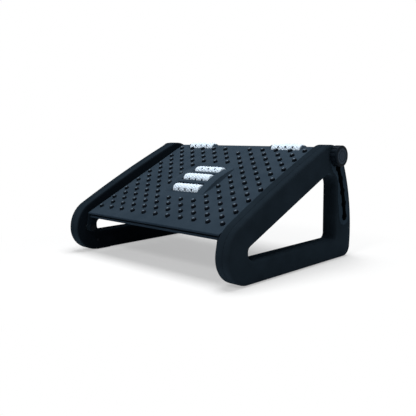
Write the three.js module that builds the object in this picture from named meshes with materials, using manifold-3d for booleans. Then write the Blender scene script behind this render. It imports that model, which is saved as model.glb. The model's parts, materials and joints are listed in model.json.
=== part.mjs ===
// Tilting footrest for under a desk. Two hollow side frames carry a tread board that tilts about two
// pins low in the frames' noses. A knob on each side clamps the board's rear at one of six notches in
// a curved slot. Five massage rollers turn in the board: three in an arched hump, two at its rear edge.
//
// Millimetres and degrees. +X is the user's right, +Y points away from the user, +Z is up.
// The origin is on the floor, under the middle of the two frames.
import * as THREE from "three";
import { mergeVertices } from "three/addons/utils/BufferGeometryUtils.js";
import Module from "manifold-3d";

const wasm = await Module();
wasm.setup();

// Fits and curves
const fitGap = 0.3; // between two pieces that touch
const cutOver = 1; // how far a cut runs past the face it opens
const joinDepth = 0.6; // how far a joined form reaches into its neighbour
const arcTolerance = 0.45; // largest gap between a curve and its chords
const weldTolerance = 1e-4;
const smallRound = 0.5; // least radius left when a wall is set in from a rounded corner
const pinSides = 14; // sides of pins, washers and bushes
const bossSides = 8;
const screwSides = 6;
const hexagon = 6;
const rollerSides = 14;
const discSides = 24;
const domeSides = 5;

// Side frames
const frameSpan = 448; // over the two outer faces
const frameThickness = 31;
const outerShellDepth = 14; // the outer moulding's share of the frame's thickness
const shellWall = 2.8;
const shellEdgeRound = 4;
const shellEdgeSteps = 2;
const footProud = 1.5; // the feet lift the frames this far off the floor

// Side profile
const pivotSetback = 26.8; // tilt axis behind the tip of the nose
const pivotHeight = 51.5;
const rearRadius = 322.2; // the rear edge is an arc about the tilt axis
const noseTopHeight = 83.2; // where the nose's front line meets the rim's line
const noseLowerRadius = 49;
const noseUpperRadius = 62;
const rimFrontSlope = 28.5;
const rimRearSlope = 24;
const rimKneeSetback = 136.4; // where the rim's two slopes meet, behind the nose
const rimKneeRadius = 2600;
const rimEndRadius = 41;
const rearTopAngle = 25.5; // the rear arc's ends, seen from the tilt axis
const rearFootAngle = -5.5;
const heelRadius = 20.6;

// Opening in each side frame
const lowerBarHeight = 38.6;
const openingSetback = 47.4; // front of the opening behind the nose
const openingTipRise = 20.8; // height of the opening's blunt front end
const openingSlope = 25;
const rearLegWidth = 52.5;
const openingFrontRadius = 11;
const openingTipRadius = 9;
const openingPeakRadius = 23.7;
const openingHeelRadius = 9.3;

// Tread board, measured from the tilt axis: along the board, and square to it
const restTilt = 25.9;
const boardRise = 30.8; // tread surface above the tilt axis
const boardFront = 7; // front edge behind the tilt axis
const boardRearGap = 17.2; // from the board's rear edge to the frames' rear arc
const boardSideGap = 8.5; // from the board's sides to the frames' inner faces
const boardThickness = 3;
const boardCornerRadius = 5;
const skirtDepth = 12;
const skirtWall = 2.6;
const cheekWall = 3.4; // the board's side walls
const ribWall = 1.8;
const ribDepth = 8;
const ribBaysAcross = 7;
const ribBaysAlong = 5;

// Front edge: a rounded nose, a groove, and a round bead under it
const frontNoseHeight = 3.4;
const frontGrooveHeight = 3;
const frontGrooveDepth = 1.8;
const frontBeadProud = 0.6;
const beadSteps = 6;

// Tread domes
const domePitch = 34; // across the board. Every second row is shifted by half of it
const domeRowPitch = 17.9;
const domeFrontMargin = 28.1; // first row behind the board's front edge
const domeRearMargin = 14; // least room from the last row to the rear edge
const domeSideMargin = 11; // and from the outer domes to the board's sides
const domeRadius = 4.5;
const domeTopRadius = 3;
const domeHeight = 4.3;
const domeEdgeClearance = 2.1; // domes keep this far from the hump's sides

// Rollers
const rollerRadius = 11;
const rollerLength = 70;
const rollerEndGap = 1.2;
const rollerEndRound = 2.2;
const windowsPerRow = 3; // small blind windows in a row along the roller
const windowRows = 2; // one row on each half of the roller
const windowWidth = 3.4;
const windowLength = 5; // round the roller
const windowDepth = 3;
const centreRollerTurns = [59, 63, 12]; // each row's place, forward from the top of its roller
const rearRollerTurn = 34;
const axleRadius = 2.5;
const pocketClearance = 2.2;
const rearPocketClearance = 0.8; // the rear rollers sit lower, so their pockets can be narrower
const rollerProud = 3.8; // rollers above the hump's crown line
const centreRollerPitch = 33.5;
const rearCradleGap = 2.2; // from a rear roller's cradle to the end of the board's rear skirt
const rearRollerSetIn = 3; // its axle ahead of the board's rear edge
const rearRollerSink = 6.2; // its axle under the tread surface
const rearLugRadius = 9; // a lug round each end of a rear axle stands out above the tread
const rearLugTipRadius = 5.5;
const rearLugLength = 9;

// Hump over the three centre rollers
const humpCentre = 154.3; // behind the board's front edge
const humpShoulder = 17.2; // from a pocket's end to the hump's side
const humpRise = 7.5;
const humpFootBow = 6.2; // at mid length the side walls' feet bow out this far
const humpTopBow = 3; // and their top edges this far
const humpStations = 8;
const humpLining = 2.6;

// Roller bays under the board
const bayWall = 3.6;
const axleSkin = 1.2; // what is left of a bay's wall past the end of an axle
const bayPlate = 2.4; // thickness of the plate that closes a bay from below
const bayBelowRoller = 1.5;
const bayPostRadius = 4;
const bayLugLength = 10; // how far the closing plate reaches past the bay's side walls

// Screws
const screwRadius = 1.5;
const screwHeadRadius = 3.2;
const screwHeadHeight = 2;
const shellScrewBossRadius = 4.6;
const screwBite = 8; // length of a screw held in its post

// Tilt pins
const pinRadius = 4;
const pinHeadRadius = 6.5;
const pinHeadHeight = 2;
const bushWall = 1.4;
const bushFlangeRadius = 8;
const bushFlange = 1.2;
const hubWall = 3;
const hubDepth = 9;
const earRadius = 8.5;
const earThickness = 6;
const earHeelSetback = 20; // where the ear's rear edge meets the skirt, behind the tilt axis
const earHeelRadius = 6;
const clipRadius = 7;
const clipThickness = 1;
const clipStandOff = 0.6;
const pinTail = 2;

// Clamp at the board's rear corners
const studSetIn = 7.5; // stud's axis ahead of the board's rear edge
const studSink = 14.4; // and under the tread surface
const studRadius = 4;
const studHeadRadius = 7;
const studHeadHeight = 5;
const clampBossRadius = 7.4;
const clampBossDepth = 6; // inboard of the board's side wall
const slideWasherThickness = 1.5;
const lockWasherThickness = 1.5;
const lockWasherRadius = 12.5;
const tiltRange = 23.5;
const notchCount = 6;
const notchRadius = 5.7;
const slotHalfWidth = 4.5;
const slotCollar = 2;
const padHalfWidth = 16.5; // raised pad round the slot on the outer face
const padProud = 1.4;

// Knob
const knobRadius = 19.5;
const knobProud = 16.4; // front face beyond the frame's outer face
const knobStandOff = 0.6; // back of the knob off the pad
const knobRibs = 14;
const knobRibDepth = 1.2;
const knobRibTopShare = 0.45; // part of each rib's pitch that stands at full radius
const knobRibFlankShare = 0.12; // and the part that each of its flanks takes up
const knobDiscHeight = 4.2;
const knobDiscRound = 1.4;
const knobNutRadius = 7;
const knobNutHeight = 6.5;
const knobCapRadius = 14.5;
const knobCapThickness = 1.6;
const knobCapRingRadius = 9.5;
const knobCapRise = 0.5;
const knobWeb = 1.2; // material between the stud's end and the cap's seat

// Feet
const footLength = 36;
const footWidth = 17;
const footSeat = 1.2; // depth of the pocket that each foot sits in
const footCornerRadius = 4;
const frontFootSetback = 66; // the front foot's middle behind the nose
const rearFootSetIn = 49; // the rear foot's middle ahead of the rear arc

// Places that follow from the sizes above
const outerFace = frameSpan / 2;
const innerFace = outerFace - frameThickness;
const partingPlane = outerFace - outerShellDepth;
const noseTip = (pivotSetback * -1 - rearRadius) / 2;
const pivotY = noseTip + pivotSetback;
const boardHalf = innerFace - boardSideGap;
const boardRear = rearRadius - boardRearGap;
const boardUnder = boardRise - boardThickness;
const frontBeadHeight = skirtDepth - frontNoseHeight - frontGrooveHeight;
const studAlong = boardRear - studSetIn;
const studRise = boardRise - studSink;
const slotRadius = Math.hypot(studAlong, studRise);
const studAngle = restTilt + THREE.MathUtils.radToDeg(Math.atan2(studRise, studAlong));
const padFace = outerFace + padProud;
const domesPerRow = 1 + Math.floor((2 * (boardHalf - domeSideMargin)) / domePitch);
const domeRows =
  1 + Math.floor((boardRear - boardFront - domeFrontMargin - domeRearMargin) / domeRowPitch);
const bayHalf = rollerLength / 2 + rollerEndGap;
const bayOutside = bayHalf + bayWall;
const bayReach = rollerRadius + pocketClearance + bayWall;
const humpHalfWidth = bayHalf + humpShoulder;
const humpLength = 2 * (centreRollerPitch + bayReach);
const pinBoreRadius = pinRadius + fitGap;
const bushRadius = pinBoreRadius + bushWall;

// The board's sides: planes of the side wall, of the ear at the tilt pin and of the clamp's boss.
const cheekIn = boardHalf - cheekWall;
const bushFace = innerFace - fitGap - bushFlange;
const earIn = boardHalf - earThickness;
const earOut = bushFace - fitGap;
const slideWasherOut = innerFace - fitGap;
const slideWasherIn = slideWasherOut - slideWasherThickness;
const clampIn = cheekIn - clampBossDepth;
const clampOut = slideWasherIn - fitGap;
const studHeadOut = clampIn - fitGap;
const studHeadIn = studHeadOut - studHeadHeight - fitGap; // the rear skirt ends short of the heads
const rearRollerX = studHeadIn - rearCradleGap - bayLugLength - bayOutside;

// Materials
const finish = (color, roughness, metalness = 0) =>
  new THREE.MeshStandardMaterial({ color, roughness, metalness });
const frameBlack = finish(0x10171d, 0.42);
const treadSlate = finish(0x35434f, 0.5);
const rollerGrey = finish(0xc6d2de, 0.55);
const knobBlack = finish(0x161d23, 0.5);
const capSlate = finish(0x2c3843, 0.4);
const footRubber = finish(0x1a1a1a, 0.9);
const bushWhite = finish(0xe6e3d8, 0.5);
const zincSteel = finish(0xa9adb2, 0.35, 1);
const nutBrass = finish(0xb5974a, 0.35, 1);

// Solids

const inOrder = (a, b) => [Math.min(a, b), Math.max(a, b)];

// A closed geometry as a solid. Its triangles are turned round if they point inwards.
function solidOf(geometry) {
  const bare = geometry.index ? geometry.toNonIndexed() : geometry.clone();
  const points = new THREE.BufferGeometry().setAttribute("position", bare.getAttribute("position"));
  const merged = mergeVertices(points, weldTolerance);
  const index = merged.index.array;
  const corner = [0, 1, 2].map(() => new THREE.Vector3());
  const position = merged.getAttribute("position");
  const kept = [];
  let volume = 0;
  for (let i = 0; i < index.length; i += 3) {
    const [a, b, c] = [index[i], index[i + 1], index[i + 2]];
    if (a === b || b === c || c === a) continue;
    kept.push(a, b, c);
    corner[0].fromBufferAttribute(position, a);
    corner[1].fromBufferAttribute(position, b);
    corner[2].fromBufferAttribute(position, c);
    volume += corner[0].dot(corner[1].cross(corner[2]));
  }
  if (volume < 0) kept.reverse();
  return new wasm.Manifold(
    new wasm.Mesh({
      numProp: 3,
      vertProperties: position.array,
      triVerts: new Uint32Array(kept),
    }),
  );
}

// A named mesh from a solid.
function meshOf(name, solid, material) {
  const made = solid.getMesh();
  const geometry = new THREE.BufferGeometry()
    .setAttribute("position", new THREE.BufferAttribute(made.vertProperties, 3))
    .setIndex(new THREE.BufferAttribute(made.triVerts, 1));
  geometry.computeVertexNormals();
  const mesh = new THREE.Mesh(geometry, material);
  mesh.name = name;
  return mesh;
}

// Round pieces have flat sides here, so a seat that one turns in clears the other's corners.
const seatRadius = (radius, sides = pinSides) => (radius + fitGap) / Math.cos(Math.PI / sides);
const joined = (solids) => solids.reduce((whole, next) => whole.add(next));
const point = (along, up) => new THREE.Vector2(along, up);
const onCircle = (centre, radius, degrees) => {
  const turn = THREE.MathUtils.degToRad(degrees);
  return point(centre.x + radius * Math.cos(turn), centre.y + radius * Math.sin(turn));
};

// How many chords follow an arc within the tolerance.
function chordCount(radius, turn) {
  const step = 2 * Math.acos(Math.max(0, 1 - arcTolerance / Math.max(radius, 2 * arcTolerance)));
  return Math.max(2, Math.ceil(turn / step));
}

// Outlines

// An outline from its corners, each { at, radius }, with the corners rounded. Two fillets that would
// meet on one edge are both made smaller by the same share. An inset moves the whole line inwards,
// and keeps its number of points.
function roundedOutline(corners, inset = 0) {
  const count = corners.length;
  const legs = corners.map(({ at, radius }, i) => {
    const back = corners[(i + count - 1) % count].at.clone().sub(at).normalize();
    const ahead = corners[(i + 1) % count].at.clone().sub(at).normalize();
    const half = back.angleTo(ahead) / 2;
    return { back, ahead, half, reach: radius / Math.tan(half) };
  });
  const shares = corners.map(({ at }, i) => {
    const next = (i + 1) % count;
    const edge = at.distanceTo(corners[next].at);
    return Math.min(1, edge / (legs[i].reach + legs[next].reach + smallRound));
  });
  return corners.flatMap(({ at }, i) => {
    const { back, ahead, half, reach } = legs[i];
    const tangent = reach * Math.min(shares[i], shares[(i + count - 1) % count]);
    const radius = tangent * Math.tan(half);
    const centre = at.clone().add(
      back.clone().add(ahead).normalize().multiplyScalar(radius / Math.sin(half)),
    );
    const from = at.clone().addScaledVector(back, tangent).sub(centre);
    const to = at.clone().addScaledVector(ahead, tangent).sub(centre);
    const turn = Math.atan2(from.cross(to), from.dot(to));
    const steps = chordCount(radius, Math.abs(turn));
    const size = Math.max(1 - (Math.sign(turn) * inset) / radius, 0);
    return Array.from({ length: steps + 1 }, (_, k) =>
      from.clone().rotateAround(point(0, 0), (turn * k) / steps).multiplyScalar(size).add(centre),
    );
  });
}

// Corners of an anticlockwise outline with every edge moved inwards by a wall, or outwards if it is
// negative.
function setIn(corners, wall) {
  const count = corners.length;
  const edges = corners.map(({ at }, i) => {
    const run = corners[(i + 1) % count].at.clone().sub(at).normalize();
    return { start: at.clone().add(point(-run.y, run.x).multiplyScalar(wall)), run };
  });
  return corners.map(({ radius }, i) => {
    const before = edges[(i + count - 1) % count];
    const after = edges[i];
    const reach = after.start.clone().sub(before.start).cross(after.run) / before.run.cross(after.run);
    return {
      at: before.start.clone().addScaledVector(before.run, reach),
      radius: Math.max(radius - wall * Math.sign(before.run.cross(after.run)), smallRound),
    };
  });
}

// A band of even width along an arc about the origin, with round ends.
function arcBand(radius, halfWidth, fromAngle, toAngle) {
  const sweep = (centre, size, start, turn) => {
    const steps = chordCount(size, Math.abs(THREE.MathUtils.degToRad(turn)));
    return Array.from({ length: steps + 1 }, (_, k) => onCircle(centre, size, start + (turn * k) / steps));
  };
  const middle = point(0, 0);
  const span = toAngle - fromAngle;
  return [
    ...sweep(middle, radius + halfWidth, fromAngle, span),
    ...sweep(onCircle(middle, radius, toAngle), halfWidth, toAngle, 180),
    ...sweep(middle, radius - halfWidth, toAngle, -span),
    ...sweep(onCircle(middle, radius, fromAngle), halfWidth, fromAngle + 180, 180),
  ];
}

function shapeOf(outline, holes = []) {
  const shape = new THREE.Shape(outline);
  shape.holes = holes.map((hole) => new THREE.Path(hole));
  return shape;
}

// Turns an extrusion along +Z into one along +X, with the outline's axes on Y and Z.
const layAcross = new THREE.Matrix4().makeBasis(
  new THREE.Vector3(0, 1, 0),
  new THREE.Vector3(0, 0, 1),
  new THREE.Vector3(1, 0, 0),
);

// An outline in the YZ plane extruded from one X to another.
function slabAcross(outline, fromX, toX, holes = []) {
  const geometry = new THREE.ExtrudeGeometry(shapeOf(outline, holes), {
    depth: toX - fromX,
    bevelEnabled: false,
  });
  return solidOf(geometry.applyMatrix4(layAcross).translate(fromX, 0, 0));
}

// An outline in the XY plane extruded from one Z to another.
function slabUp(outline, fromZ, toZ, holes = []) {
  const geometry = new THREE.ExtrudeGeometry(shapeOf(outline, holes), {
    depth: toZ - fromZ,
    bevelEnabled: false,
  });
  return solidOf(geometry.translate(0, 0, fromZ));
}

// A block between two corners.
function block([x0, y0, z0], [x1, y1, z1]) {
  const geometry = new THREE.BoxGeometry(x1 - x0, y1 - y0, z1 - z0);
  return solidOf(geometry.translate((x0 + x1) / 2, (y0 + y1) / 2, (z0 + z1) / 2));
}

// A turned form about a line along X through (y, z). Its profile is a list of [radius, x].
function turnedAcross(profile, y, z, sides = pinSides) {
  const points = profile.map(([radius, x]) => point(radius, x));
  const geometry = new THREE.LatheGeometry(points, sides);
  return solidOf(geometry.rotateZ(-Math.PI / 2).translate(0, y, z));
}

// The same about a line along Z through (x, y). Its profile is a list of [radius, z].
function turnedUp(profile, x, y, sides = pinSides) {
  const points = profile.map(([radius, z]) => point(radius, z));
  const geometry = new THREE.LatheGeometry(points, sides);
  return solidOf(geometry.rotateX(Math.PI / 2).translate(x, y, 0));
}

const rodAcross = (radius, fromX, toX, y, z, sides = pinSides) =>
  turnedAcross([[0, fromX], [radius, fromX], [radius, toX], [0, toX]], y, z, sides);
const rodUp = (radius, fromZ, toZ, x, y, sides = pinSides) =>
  turnedUp([[0, fromZ], [radius, fromZ], [radius, toZ], [0, toZ]], x, y, sides);
const ringAcross = (inner, outer, fromX, toX, y, z, sides = pinSides) =>
  turnedAcross(
    [[inner, fromX], [outer, fromX], [outer, toX], [inner, toX], [inner, fromX]],
    y,
    z,
    sides,
  );

// Side profile

const lineMeets = (start, slope, other, otherSlope) => {
  const run = onCircle(point(0, 0), 1, slope);
  const otherRun = onCircle(point(0, 0), 1, otherSlope);
  const reach = other.clone().sub(start).cross(otherRun) / run.cross(otherRun);
  return start.clone().addScaledVector(run, reach);
};

const pivot = point(pivotY, pivotHeight);

// Corners of the frame's side outline, anticlockwise from the nose's foot.
function frameCorners() {
  const floorLine = point(noseTip, footProud);
  const noseTop = point(noseTip, noseTopHeight);
  const knee = lineMeets(noseTop, rimFrontSlope, point(noseTip + rimKneeSetback, 0), 90);
  const arcTop = onCircle(pivot, rearRadius, rearTopAngle);
  const arcFoot = onCircle(pivot, rearRadius, rearFootAngle);
  const rimEnd = lineMeets(knee, rimRearSlope, arcTop, rearTopAngle + 90);
  const bulge = lineMeets(arcTop, rearTopAngle + 90, arcFoot, rearFootAngle + 90);
  const heel = lineMeets(floorLine, 0, arcFoot, rearFootAngle + 90);
  return [
    { at: floorLine, radius: noseLowerRadius },
    { at: heel, radius: heelRadius },
    { at: bulge, radius: rearRadius },
    { at: rimEnd, radius: rimEndRadius },
    { at: knee, radius: rimKneeRadius },
    { at: noseTop, radius: noseUpperRadius },
  ];
}

// Corners of the opening, anticlockwise from its lower front.
function openingCorners() {
  const front = noseTip + openingSetback;
  const rear = pivotY + rearRadius - rearLegWidth;
  const floor = footProud + lowerBarHeight;
  const tip = point(front, floor + openingTipRise);
  return [
    { at: point(front, floor), radius: openingFrontRadius },
    { at: point(rear, floor), radius: openingHeelRadius },
    { at: lineMeets(tip, openingSlope, point(rear, 0), 90), radius: openingPeakRadius },
    { at: tip, radius: openingTipRadius },
  ];
}

const frameOutline = frameCorners();
const openingOutline = openingCorners();

// A band along the slot, placed on the frame, as an outline about the tilt axis.
const alongSlot = (halfWidth) =>
  arcBand(slotRadius, halfWidth, studAngle - tiltRange, studAngle).map((at) => at.add(pivot));

// The outer shell's slot: a narrow band with a round notch at each of the board's heights.
function slotCutter(fromX, toX) {
  const notches = Array.from({ length: notchCount }, (_, i) => {
    const angle = studAngle - (tiltRange * i) / (notchCount - 1);
    const at = onCircle(pivot, slotRadius, angle);
    return rodAcross(notchRadius, fromX, toX, at.x, at.y, bossSides);
  });
  return joined([slabAcross(alongSlot(slotHalfWidth), fromX, toX), ...notches]);
}

// Places of the screws that hold a frame's two shells together: two in the lower bar and one in the
// middle of the sloping bar.
function shellScrewPlaces() {
  const barMiddle = footProud + lowerBarHeight / 2;
  const [front, rear, peak, tip] = openingOutline.map(({ at }) => at);
  const knee = frameOutline[4].at;
  const rimEnd = frameOutline[3].at;
  const across = (above, below) => above.clone().add(below).divideScalar(2);
  const underKnee = lineMeets(tip, openingSlope, point(knee.x, 0), 90);
  return [
    point(front.x, barMiddle),
    point(rear.x - openingPeakRadius, barMiddle),
    across(across(knee, rimEnd), across(underKnee, peak)),
  ];
}

const shellScrews = shellScrewPlaces();

// Feet sit in pockets that both shells share.
const footMiddle = innerFace + frameThickness / 2;
const footPlaces = { front: noseTip + frontFootSetback, rear: pivotY + rearRadius - rearFootSetIn };

function footOutline(middleY, extra) {
  const halfX = footWidth / 2 + extra;
  const halfY = footLength / 2 + extra;
  const radius = footCornerRadius + extra;
  return roundedOutline(
    [[-1, -1], [1, -1], [1, 1], [-1, 1]].map(([sideX, sideY]) => ({
      at: point(footMiddle + sideX * halfX, middleY + sideY * halfY),
      radius,
    })),
  );
}

const footPockets = joined(
  Object.values(footPlaces).map((middleY) =>
    slabUp(footOutline(middleY, fitGap), footProud - cutOver, footProud + footSeat),
  ),
);

// The frame's form between two planes. Its layers are [x, inset], from low X to high X: the outline
// is set in by the inset there, and the opening grows by it.
function frameSlab(layers) {
  const positions = [];
  const face = (...corners) => corners.forEach((corner) => positions.push(...corner));
  const rings = layers.map(([x, inset]) => {
    const outer = roundedOutline(frameOutline, inset);
    const hole = roundedOutline(openingOutline, -inset);
    return { x, outer, hole };
  });
  const placed = (x, at) => [x, at.x, at.y];
  rings.slice(1).forEach((next, i) => {
    const last = rings[i];
    for (const loop of ["outer", "hole"]) {
      const count = last[loop].length;
      for (let k = 0; k < count; k += 1) {
        const step = (k + 1) % count;
        const [from, to] = loop === "outer" ? [k, step] : [step, k];
        const low = [placed(last.x, last[loop][from]), placed(last.x, last[loop][to])];
        const high = [placed(next.x, next[loop][from]), placed(next.x, next[loop][to])];
        face(low[0], low[1], high[1]);
        face(low[0], high[1], high[0]);
      }
    }
  });
  const lids = THREE.ShapeUtils.triangulateShape(rings[0].outer, [rings[0].hole]);
  const points = ({ outer, hole }) => [...outer, ...hole];
  const [start, end] = [rings[0], rings[rings.length - 1]];
  for (const lid of lids) {
    const [p, q, r] = lid.map((k) => points(start)[k]);
    const facesUp = q.clone().sub(p).cross(r.clone().sub(p)) > 0;
    const [i, j, k] = facesUp ? lid : [...lid].reverse();
    face(...[k, j, i].map((n) => placed(start.x, points(start)[n])));
    face(...[i, j, k].map((n) => placed(end.x, points(end)[n])));
  }
  const geometry = new THREE.BufferGeometry();
  geometry.setAttribute("position", new THREE.Float32BufferAttribute(positions, 3));
  return solidOf(geometry);
}

// Layers of a rounded edge that ends at a face: the way is 1 towards high X and -1 towards low X.
const edgeLayers = (faceX, way) =>
  Array.from({ length: shellEdgeSteps + 1 }, (_, k) => {
    const turn = (Math.PI * k) / (2 * shellEdgeSteps);
    const back = shellEdgeRound * (1 - Math.sin(turn));
    return [faceX - way * back, shellEdgeRound * (1 - Math.cos(turn))];
  });

// The hollow inside a shell, between two X.
const hollow = (fromX, toX) =>
  slabAcross(roundedOutline(setIn(frameOutline, shellWall)), fromX, toX, [
    roundedOutline(setIn(openingOutline, -shellWall)),
  ]);

// The frame's flat outer face, as a slab between two X.
const flatFace = (fromX, toX) =>
  slabAcross(roundedOutline(frameOutline, shellEdgeRound), fromX, toX, [
    roundedOutline(openingOutline, -shellEdgeRound),
  ]);

function outerShell() {
  const joint = partingPlane + fitGap / 2;
  const far = padFace + cutOver;
  const near = joint - cutOver;
  const half = frameSlab([[joint, 0], ...edgeLayers(outerFace, 1)]);
  const tray = half.subtract(hollow(near, outerFace - shellWall));
  const padRoot = outerFace - joinDepth;
  const pad = slabAcross(alongSlot(padHalfWidth), padRoot, padFace).intersect(flatFace(padRoot, padFace));
  const collar = slabAcross(alongSlot(notchRadius + slotCollar), joint, outerFace);
  const bosses = shellScrews.map((at) =>
    rodAcross(shellScrewBossRadius, joint, outerFace - shellWall + joinDepth, at.x, at.y, bossSides),
  );
  const screwEnd = Math.min(joint + screwBite, outerFace - shellWall);
  const pilots = shellScrews.map((at) =>
    rodAcross(screwRadius + fitGap, near, screwEnd, at.x, at.y, screwSides),
  );
  return joined([tray, pad, collar.intersect(half), ...bosses])
    .subtract(joined([slotCutter(near, far), ...pilots]))
    .subtract(footPockets);
}

function innerShell() {
  const joint = partingPlane - fitGap / 2;
  const near = innerFace - cutOver;
  const far = joint + cutOver;
  const half = frameSlab([...edgeLayers(innerFace, -1).reverse(), [joint, 0]]);
  const tray = half.subtract(hollow(innerFace + shellWall, far));
  const collar = slabAcross(alongSlot(notchRadius + slotCollar), innerFace, joint);
  const hub = rodAcross(bushRadius + fitGap + hubWall, innerFace, innerFace + hubDepth, pivot.x, pivot.y);
  const bosses = shellScrews.map((at) =>
    rodAcross(shellScrewBossRadius, innerFace, joint, at.x, at.y, bossSides),
  );
  const headSeat = innerFace + screwHeadHeight + fitGap;
  const screwHoles = shellScrews.map((at) =>
    joined([
      rodAcross(screwHeadRadius + fitGap, near, headSeat, at.x, at.y, screwSides),
      rodAcross(screwRadius + fitGap, near, far, at.x, at.y, screwSides),
    ]),
  );
  const bore = rodAcross(bushRadius + fitGap, near, innerFace + hubDepth + cutOver, pivot.x, pivot.y);
  return joined([tray, collar.intersect(half), hub, ...bosses])
    .subtract(joined([slabAcross(alongSlot(notchRadius), near, far), bore, ...screwHoles]))
    .subtract(footPockets);
}

// A screw that runs outwards from the inner face: pan head in its seat, shank in the outer boss.
function shellScrew(at) {
  const head = innerFace + fitGap;
  const seat = innerFace + screwHeadHeight;
  const tip = partingPlane + screwBite - fitGap;
  const end = Math.min(tip, outerFace - shellWall - fitGap);
  return turnedAcross(
    [
      [0, head],
      [screwHeadRadius, head],
      [screwHeadRadius, seat],
      [screwRadius, seat],
      [screwRadius, end],
      [0, end],
    ],
    at.x,
    at.y,
    screwSides,
  );
}

// Bush in the inner shell's hub, with its flange against the inner face.
function pivotBush() {
  const flangeEnd = innerFace - fitGap;
  const flangeStart = flangeEnd - bushFlange;
  const sleeveEnd = innerFace + hubDepth;
  return turnedAcross(
    [
      [pinBoreRadius, flangeStart],
      [bushFlangeRadius, flangeStart],
      [bushFlangeRadius, flangeEnd],
      [bushRadius, flangeEnd],
      [bushRadius, sleeveEnd],
      [pinBoreRadius, sleeveEnd],
      [pinBoreRadius, flangeStart],
    ],
    pivot.x,
    pivot.y,
  );
}

const foot = (middleY) => slabUp(footOutline(middleY, 0), 0, footProud + footSeat - fitGap);

// The pieces of one side frame, modelled on the user's right.
function sideFrame(side) {
  return [
    meshOf(side + "_outer_shell", outerShell(), frameBlack),
    meshOf(side + "_inner_shell", innerShell(), frameBlack),
    meshOf(side + "_pivot_bush", pivotBush(), bushWhite),
    ...Object.entries(footPlaces).map(([end, middleY]) =>
      meshOf(side + "_" + end + "_foot", foot(middleY), footRubber),
    ),
    ...shellScrews.map((at, i) => meshOf(side + "_shell_screw_" + (i + 1), shellScrew(at), zincSteel)),
  ];
}

// Tread board. From here on, Y runs along the board from the tilt axis and Z stands square to it.

const humpMiddle = boardFront + humpCentre;
const humpHeight = (along) => humpRise * (1 - ((along - humpMiddle) / (humpLength / 2)) ** 2);

// The hump's body: an arched top over side walls that lean and bow. The form is smaller by the
// given lining all round, so it makes both the hump and the hollow under it.
function humpBody(lining, floor) {
  const positions = [];
  const half = humpLength / 2 - lining;
  const ring = (station) => {
    const share = (2 * station) / humpStations - 1;
    const along = humpMiddle + share * half;
    const top = Math.max(boardRise + humpHeight(along) - lining, floor + smallRound);
    const arch = 1 - share * share;
    const foot = humpHalfWidth - lining + humpFootBow * arch;
    const edge = humpHalfWidth - lining + humpTopBow * arch;
    return [[-foot, floor], [foot, floor], [edge, top], [-edge, top]].map(
      ([x, z]) => new THREE.Vector3(x, along, z),
    );
  };
  const face = (a, b, c, d) => [a, b, c, a, c, d].forEach((corner) => positions.push(...corner.toArray()));
  const rings = Array.from({ length: humpStations + 1 }, (_, i) => ring(i));
  rings.slice(1).forEach((next, i) => {
    const last = rings[i];
    last.forEach((corner, k) => {
      const step = (k + 1) % last.length;
      face(corner, last[step], next[step], next[k]);
    });
  });
  const [first, final] = [rings[0], rings[humpStations]];
  face(first[3], first[2], first[1], first[0]);
  face(final[0], final[1], final[2], final[3]);
  const geometry = new THREE.BufferGeometry();
  geometry.setAttribute("position", new THREE.Float32BufferAttribute(positions, 3));
  return solidOf(geometry);
}

// Rollers: where each turns, and which bay holds it.
const centreRollers = centreRollerTurns.map((turn, i) => {
  const along = humpMiddle + (i - 1) * centreRollerPitch;
  const rise = boardRise + humpHeight(along) + rollerProud - rollerRadius;
  return { x: 0, along, rise, turn, clearance: pocketClearance };
});
const rearRoller = {
  x: rearRollerX,
  along: boardRear - rearRollerSetIn,
  rise: boardRise - rearRollerSink,
  turn: rearRollerTurn,
  clearance: rearPocketClearance,
};

// The front edge's section: nose, groove and bead, from the tread surface down.
function frontEdgeOutline() {
  const front = boardFront;
  const inner = front + frontGrooveDepth + skirtWall;
  const noseUnder = boardRise - frontNoseHeight;
  const beadTop = noseUnder - frontGrooveHeight;
  const beadRadius = frontBeadHeight / 2;
  const beadMiddle = point(front - frontBeadProud + beadRadius, beadTop - beadRadius);
  const noseRadius = frontNoseHeight / 2;
  const noseMiddle = point(front + noseRadius, boardRise - noseRadius);
  const halfRound = (middle, radius) =>
    Array.from({ length: beadSteps + 1 }, (_, k) => onCircle(middle, radius, 90 + (180 * k) / beadSteps));
  return [
    point(inner + boardThickness, boardRise),
    ...halfRound(noseMiddle, noseRadius),
    point(front + frontGrooveDepth, noseUnder),
    point(front + frontGrooveDepth, beadTop),
    ...halfRound(beadMiddle, beadRadius),
    point(inner, beadTop - frontBeadHeight),
    point(inner, boardUnder),
    point(inner + boardThickness, boardUnder),
  ];
}

// The side wall's outline: an ear down to the tilt pin in front, the skirt's depth along the
// middle, and a rounded corner round the clamp's stud at the rear.
function cheekOutline() {
  const under = boardRise - skirtDepth;
  const rearFoot = studRise - clampBossRadius;
  const rearStart = studAlong - 2 * clampBossRadius;
  return roundedOutline([
    { at: point(-earRadius, -earRadius), radius: earRadius },
    { at: point(earRadius, -earRadius), radius: earRadius },
    { at: point(earHeelSetback, under), radius: earHeelRadius },
    { at: point(rearStart, under), radius: clampBossRadius },
    { at: point(studAlong - clampBossRadius, rearFoot), radius: clampBossRadius },
    { at: point(boardRear, rearFoot), radius: boardCornerRadius },
    { at: point(boardRear, boardUnder + joinDepth), radius: smallRound },
    { at: point(boardFront, boardUnder + joinDepth), radius: smallRound },
    { at: point(-earRadius, earRadius), radius: earRadius },
  ]);
}

function rowOf(i) {
  const shifted = i % 2;
  const count = domesPerRow - shifted;
  return Array.from({ length: count }, (_, k) => ({
    x: (k - (count - 1) / 2) * domePitch,
    along: boardFront + domeFrontMargin + i * domeRowPitch,
  }));
}

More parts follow.
